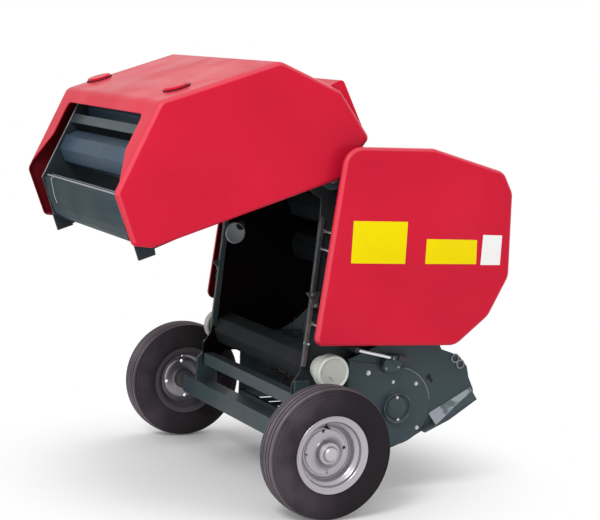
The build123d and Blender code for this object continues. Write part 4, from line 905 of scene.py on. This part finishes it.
tine_steel = enamel("tine_steel", TINE_COLOUR, TINE_DUST, TINE_CHIP, rough=0.40, worn=0.1)
reel_mesh = bmesh.new()
tine_mesh = bmesh.new()
drum(reel_mesh, at(REEL_X, -SHAFT_HALF, REEL_Z), (0, 1, 0), REEL_SHAFT_R, 2 * SHAFT_HALF)
for y in SPIDERS_Y:
    drum(reel_mesh, at(REEL_X, y - SPIDER_HALF, REEL_Z), (0, 1, 0), SPIDER_R, 2 * SPIDER_HALF, 40)
for arm in range(4):
    around = math.radians(90 * arm)
    out = Vector((math.cos(around), 0, math.sin(around)))
    across = Vector((-math.sin(around), 0, math.cos(around)))
    bar = at(REEL_X, 0, REEL_Z) + out * (BAR_RING / 1000)
    drum(reel_mesh, bar + Vector((0, -BAR_HALF / 1000, 0)), (0, 1, 0), BAR_R, 2 * BAR_HALF)
    for y in SPIDERS_Y:
        root = out * (ARM_ROOT / 1000) - across * (ARM_HALF / 1000)
        end = out * (BAR_RING / 1000) + across * (ARM_HALF / 1000)
        low = Vector((min(root.x, end.x), -SPIDER_HALF / 1000, min(root.z, end.z)))
        high = Vector((max(root.x, end.x), SPIDER_HALF / 1000, max(root.z, end.z)))
        block(reel_mesh, at(REEL_X, y, REEL_Z) + low, at(REEL_X, y, REEL_Z) + high)
    for pair in PAIRS:
        clamp = bar + Vector((0, pair / 1000, 0))
        block(tine_mesh, clamp - CLAMP, clamp + CLAMP)
        for side_name, side in SIDES:
            row = Vector((0, (pair + side * TINE_PITCH / 2) / 1000, 0))
            coil(tine_mesh, bar + row, side, around + math.pi / 2)
            root = bar + row + across * (COIL_R / 1000)
            tip = at(REEL_X, 0, REEL_Z) + row + out * (TINE_TIP / 1000)
            rods(tine_mesh, (root, tip), TINE_WIRE, tip=TINE_POINT)
            inner = root - Vector((0, side * COIL_LENGTH / 1000, 0))
            drum(tine_mesh, inner, (0, -side, 0), TINE_WIRE, HUG_LENGTH, 8)
finished(
    "reel_shaft_and_bars", reel_mesh, bar_enamel, "pickup_reel", edge=0.0006,
    instead="pickup_reel",
)
finished(
    "spring_tines", tine_mesh, tine_steel, "pickup_reel", sharp=40, instead="pickup_reel"
)
dress("stripper_bands", frame_enamel)
rivet_mesh = bmesh.new()
for row in BANDS:
    for x, way in BAND_ENDS:
        for off in RIVET_OFFS:
            spot = at(x, row * TINE_PITCH + off, REEL_Z + way * BAND_R)
            drum(rivet_mesh, spot, (0, 0, way), RIVET_R, RIVET_H, 12, RIVET_TOP)
finished("band_rivets", rivet_mesh, frame_enamel)

# Tailgate walls and apron: plate walls with bearing flanges, worn bright along their rear edge, and a
# bent sheet across the foot with a double lip and a welded seam. The lip's pale rods are partly wear and
# partly painted highlight, and paler bands across the sheet are painted sheen
APRON_TONE, SHEEN_BAND, GATE_DARK = (0.032, 0.052, 0.062), (0.085, 0.105, 0.125), (0.020, 0.028, 0.034)
WALL_EDGE, EDGE_Y, EDGE_R = ((-437, -393), (-252, -636)), 353, 2.2
LIP_LINES, LIP_R, LIP_SHORT = ((-245.5, -602.5), (-251.5, -616)), 2.9, 2
SEAM_Y, SEAM_R, SEAM_LINE = 275, 1.8, ((-253, -612), (-251.5, -630), (-197, -643.5), (-170, -646))
apron_enamel = enamel("apron_enamel", APRON_TONE, rough=0.5, dusty=0.08, worn=0.7, gloss=0.05)
tree = apron_enamel.node_tree
# Painted sheen: paler bands, stretched across the sheet, are laid over the apron's coat
overlaid(apron_enamel, ramp(tree, noise(tree, 22.0, 2.0, (1.0, 0.04, 1.0)), 0.46, 0.74, 0.0, 0.4), SHEEN_BAND)
gate_dark = enamel("gate_dark", GATE_DARK, rough=0.42, dusty=0.15, gloss=0.2)
for side_name, side in SIDES:
    dress(f"gate_wall_{side_name}", gate_dark)
    edge_mesh = bmesh.new()
    rods(edge_mesh, [on_gate(x, side * EDGE_Y, z) for x, z in WALL_EDGE], EDGE_R)
    finished(f"gate_wall_edge_{side_name}", edge_mesh, worn_and_highlight_plate, "gate")
    bolt_mesh = bmesh.new()
    flange_bolts(bolt_mesh, side, GATE_ANGLES, gate_place)
    finished(f"gate_wall_bolts_{side_name}", bolt_mesh, bright_zinc, "gate")
dress("gate_bar", frame_enamel)
dress("gate_apron", apron_enamel)
# The double lip's pale rods are partly wear and partly painted highlight
lip_mesh = bmesh.new()
for x, z in LIP_LINES:
    drum(lip_mesh, on_gate(x, LIP_SHORT - WALL_IN, z), (0, 1, 0), LIP_R, 2 * (WALL_IN - LIP_SHORT), 10)
rods(lip_mesh, [on_gate(x, SEAM_Y, z) for x, z in SEAM_LINE], SEAM_R)
finished("apron_lip", lip_mesh, ring_steel, "gate")

# Tailgate arms and cylinders: plate arms on the hinge pins, welded tube barrels with a gland and two
# plugged ports, and chromed rods
CYL_Y, EYE_REACH, EYE_OPEN, BARREL_END = 389, 90, 12.4, 300
GLAND_IN, GLAND_RINGS = 16, ((0, 17.2, 10), (-26, 16.8, 6))  # along from the gland, radius, length
PORTS_IN, PORT_OFF, PORT = (50, 46), 15, ((7, 7, 16), (5.6, 4, 6))
WASHER_OUT, WASHER_R, WASHER_T = 8, 15, 2.5
eye_x, eye_z = circled(HINGE_X, HINGE_Z, EYE_REACH, EYE_OPEN)
run = Vector((eye_x - BASE_PIN[0], 0, eye_z - BASE_PIN[1])).normalized()
off_run = Vector((run.z, 0, -run.x))
for side_name, side in SIDES:
    dress(f"gate_arm_{side_name}", frame_enamel)
    dress(f"cylinder_barrel_{side_name}", bar_enamel)
    dress(f"cylinder_rod_{side_name}", chrome)
    base = at(BASE_PIN[0], side * CYL_Y, BASE_PIN[1])
    gland_mesh = bmesh.new()
    gland = base + run * ((BARREL_END - GLAND_IN) / 1000)
    for along, radius, length in GLAND_RINGS:
        drum(gland_mesh, gland + run * (along / 1000), run, radius, length, 32)
    for along in (PORTS_IN[0], BARREL_END - PORTS_IN[1]):
        port = base + run * (along / 1000) + off_run * (PORT_OFF / 1000)
        stacked(gland_mesh, port, off_run, PORT)
    fittings_name = f"cylinder_fittings_{side_name}"
    finished(fittings_name, gland_mesh, bar_enamel, f"barrel_{side_name}", edge=0.0005)
    washer_mesh = bmesh.new()
    outwards(drum, washer_mesh, side, [BASE_PIN], CYL_Y + WASHER_OUT, WASHER_R, WASHER_T)
    finished(f"base_pin_washer_{side_name}", washer_mesh, bright_zinc)

# Red side covers and tailgate skins: 1.5 mm pressed steel with rolled edges and a thick glossy enamel.
# The rolled edges get a paler red as a painted highlight, and the inner faces a dark red as painted shade
RED, RED_DUST, RED_CHIP = (0.645, 0.0095, 0.037), (0.66, 0.22, 0.22), (0.30, 0.020, 0.030)
RED_INNER_SHADE, RED_EDGE_HIGHLIGHT = (0.115, 0.006, 0.009), (0.80, 0.13, 0.17)
red_enamel, lit_and_shaded_red = (
    enamel(name, RED, RED_DUST, RED_CHIP, rough=0.28, coat=0.08, dusty=0.05, worn=0.3, gloss=0.08)
    for name in ("red_enamel", "lit_and_shaded_red")
)
tree = lit_and_shaded_red.node_tree
side_of = joined(tree, "SIGN", part_of(tree, "TexCoord", "Object", "Y"))
turned_y = part_of(tree, "NewGeometry", "Normal", "Y")
off_flat = joined(tree, "ABSOLUTE", turned_y)
bent, upright = ramp(tree, off_flat, 0.985, 0.88), ramp(tree, off_flat, 0.05, 0.40, 0.0, 0.46)
open_up = ramp(tree, part_of(tree, "NewGeometry", "Normal", "Z"), -0.55, -0.05)
rolled_highlight = joined(tree, "MULTIPLY", joined(tree, "MULTIPLY", bent, upright), open_up)
# Painted highlight: a paler red on the rolled edges
overlaid(lit_and_shaded_red, rolled_highlight, RED_EDGE_HIGHLIGHT)
# Painted shade: a dark red on the faces that turn inwards
inward_shade = ramp(tree, joined(tree, "MULTIPLY", turned_y, side_of), -0.3, -0.7)
overlaid(lit_and_shaded_red, inward_shade, RED_INNER_SHADE)
for side_name, side in SIDES:
    dress(f"side_cover_{side_name}", lit_and_shaded_red)
    dress(f"gate_panel_{side_name}", lit_and_shaded_red)
dress("gate_hood", red_enamel)
dress("gate_cap", red_enamel)

# Filler lids on the tailgate's back: two round lids pressed from thin sheet in the covers' red, each
# pushed onto a collar over a dark rubber seal, whose black also paints the shade in the gap under the lid
LID_PLACE, LID_NORMAL, LIDS_Y = (-450.0, -307.2), (-0.9892, 0.1467), (-293, 392)
LID_R, LID_H, LID_TAPER, LID_LIFT, LID_STEPS, SEAL_OVER, SEAL_H = 40, 8, 2, 2, 48, 3, 3
lid_way = on_gate(LID_NORMAL[0], 0, LID_NORMAL[1]) - on_gate(0, 0, 0)
seal_mesh = bmesh.new()
lid_mesh = bmesh.new()
for y in LIDS_Y:
    spot = on_gate(LID_PLACE[0], y, LID_PLACE[1])
    drum(seal_mesh, spot, lid_way, LID_R + SEAL_OVER, SEAL_H, LID_STEPS)
    drum(lid_mesh, spot + lid_way * LID_LIFT, lid_way, LID_R, LID_H, LID_STEPS, LID_R - LID_TAPER)
# Painted shade: the seals' black also stands for the shade under the lids' edges
finished("lid_seals", seal_mesh, hole_shade_and_rubber, "gate")
finished("filler_lids", lid_mesh, red_enamel, "gate", edge=0.0025)

# Stickers on the right cover: two yellow ones and a white one, blank, printed on thin vinyl and stuck
# flat on the outer face, with rounded corners
COVER_OUTER, STICKER_T, STICKER_SUNK = -490.0, 0.35, 0.02
STICKER_CORNER, CROSSWISE = 0.002, 0.9
STICKER_DUST, STICKER_CHIP = (0.80, 0.60, 0.25), (0.85, 0.55, 0.20)
STICKERS = (
    ("yellow_sticker_large", ((96, 767), (286, 763), (288, 894), (98, 897)), (0.925, 0.745, 0.0)),
    ("yellow_sticker_small", ((358, 762), (545, 759), (543, 836), (359, 840)), (0.925, 0.735, 0.001)),
    ("white_sticker", ((561, 756), (634, 755), (636, 850), (565, 852)), (0.98, 0.97, 0.96)),
)
for name, corners, colour in STICKERS:
    vinyl = enamel(f"{name}_vinyl", colour, STICKER_DUST, STICKER_CHIP, rough=0.4, dusty=0.04, gloss=0.06)
    mesh = bmesh.new()
    plate(mesh, corners, COVER_OUTER - STICKER_T, COVER_OUTER - STICKER_SUNK)
    short = [e for e in mesh.edges if abs((e.verts[0].co - e.verts[1].co).normalized().y) > CROSSWISE]
    bmesh.ops.bevel(
        mesh, geom=short, offset=STICKER_CORNER, segments=4, affect="EDGES", profile=0.5, material=-1
    )
    finished(name, mesh, vinyl)

# The box round all that the scene shows but the floor
low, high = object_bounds()
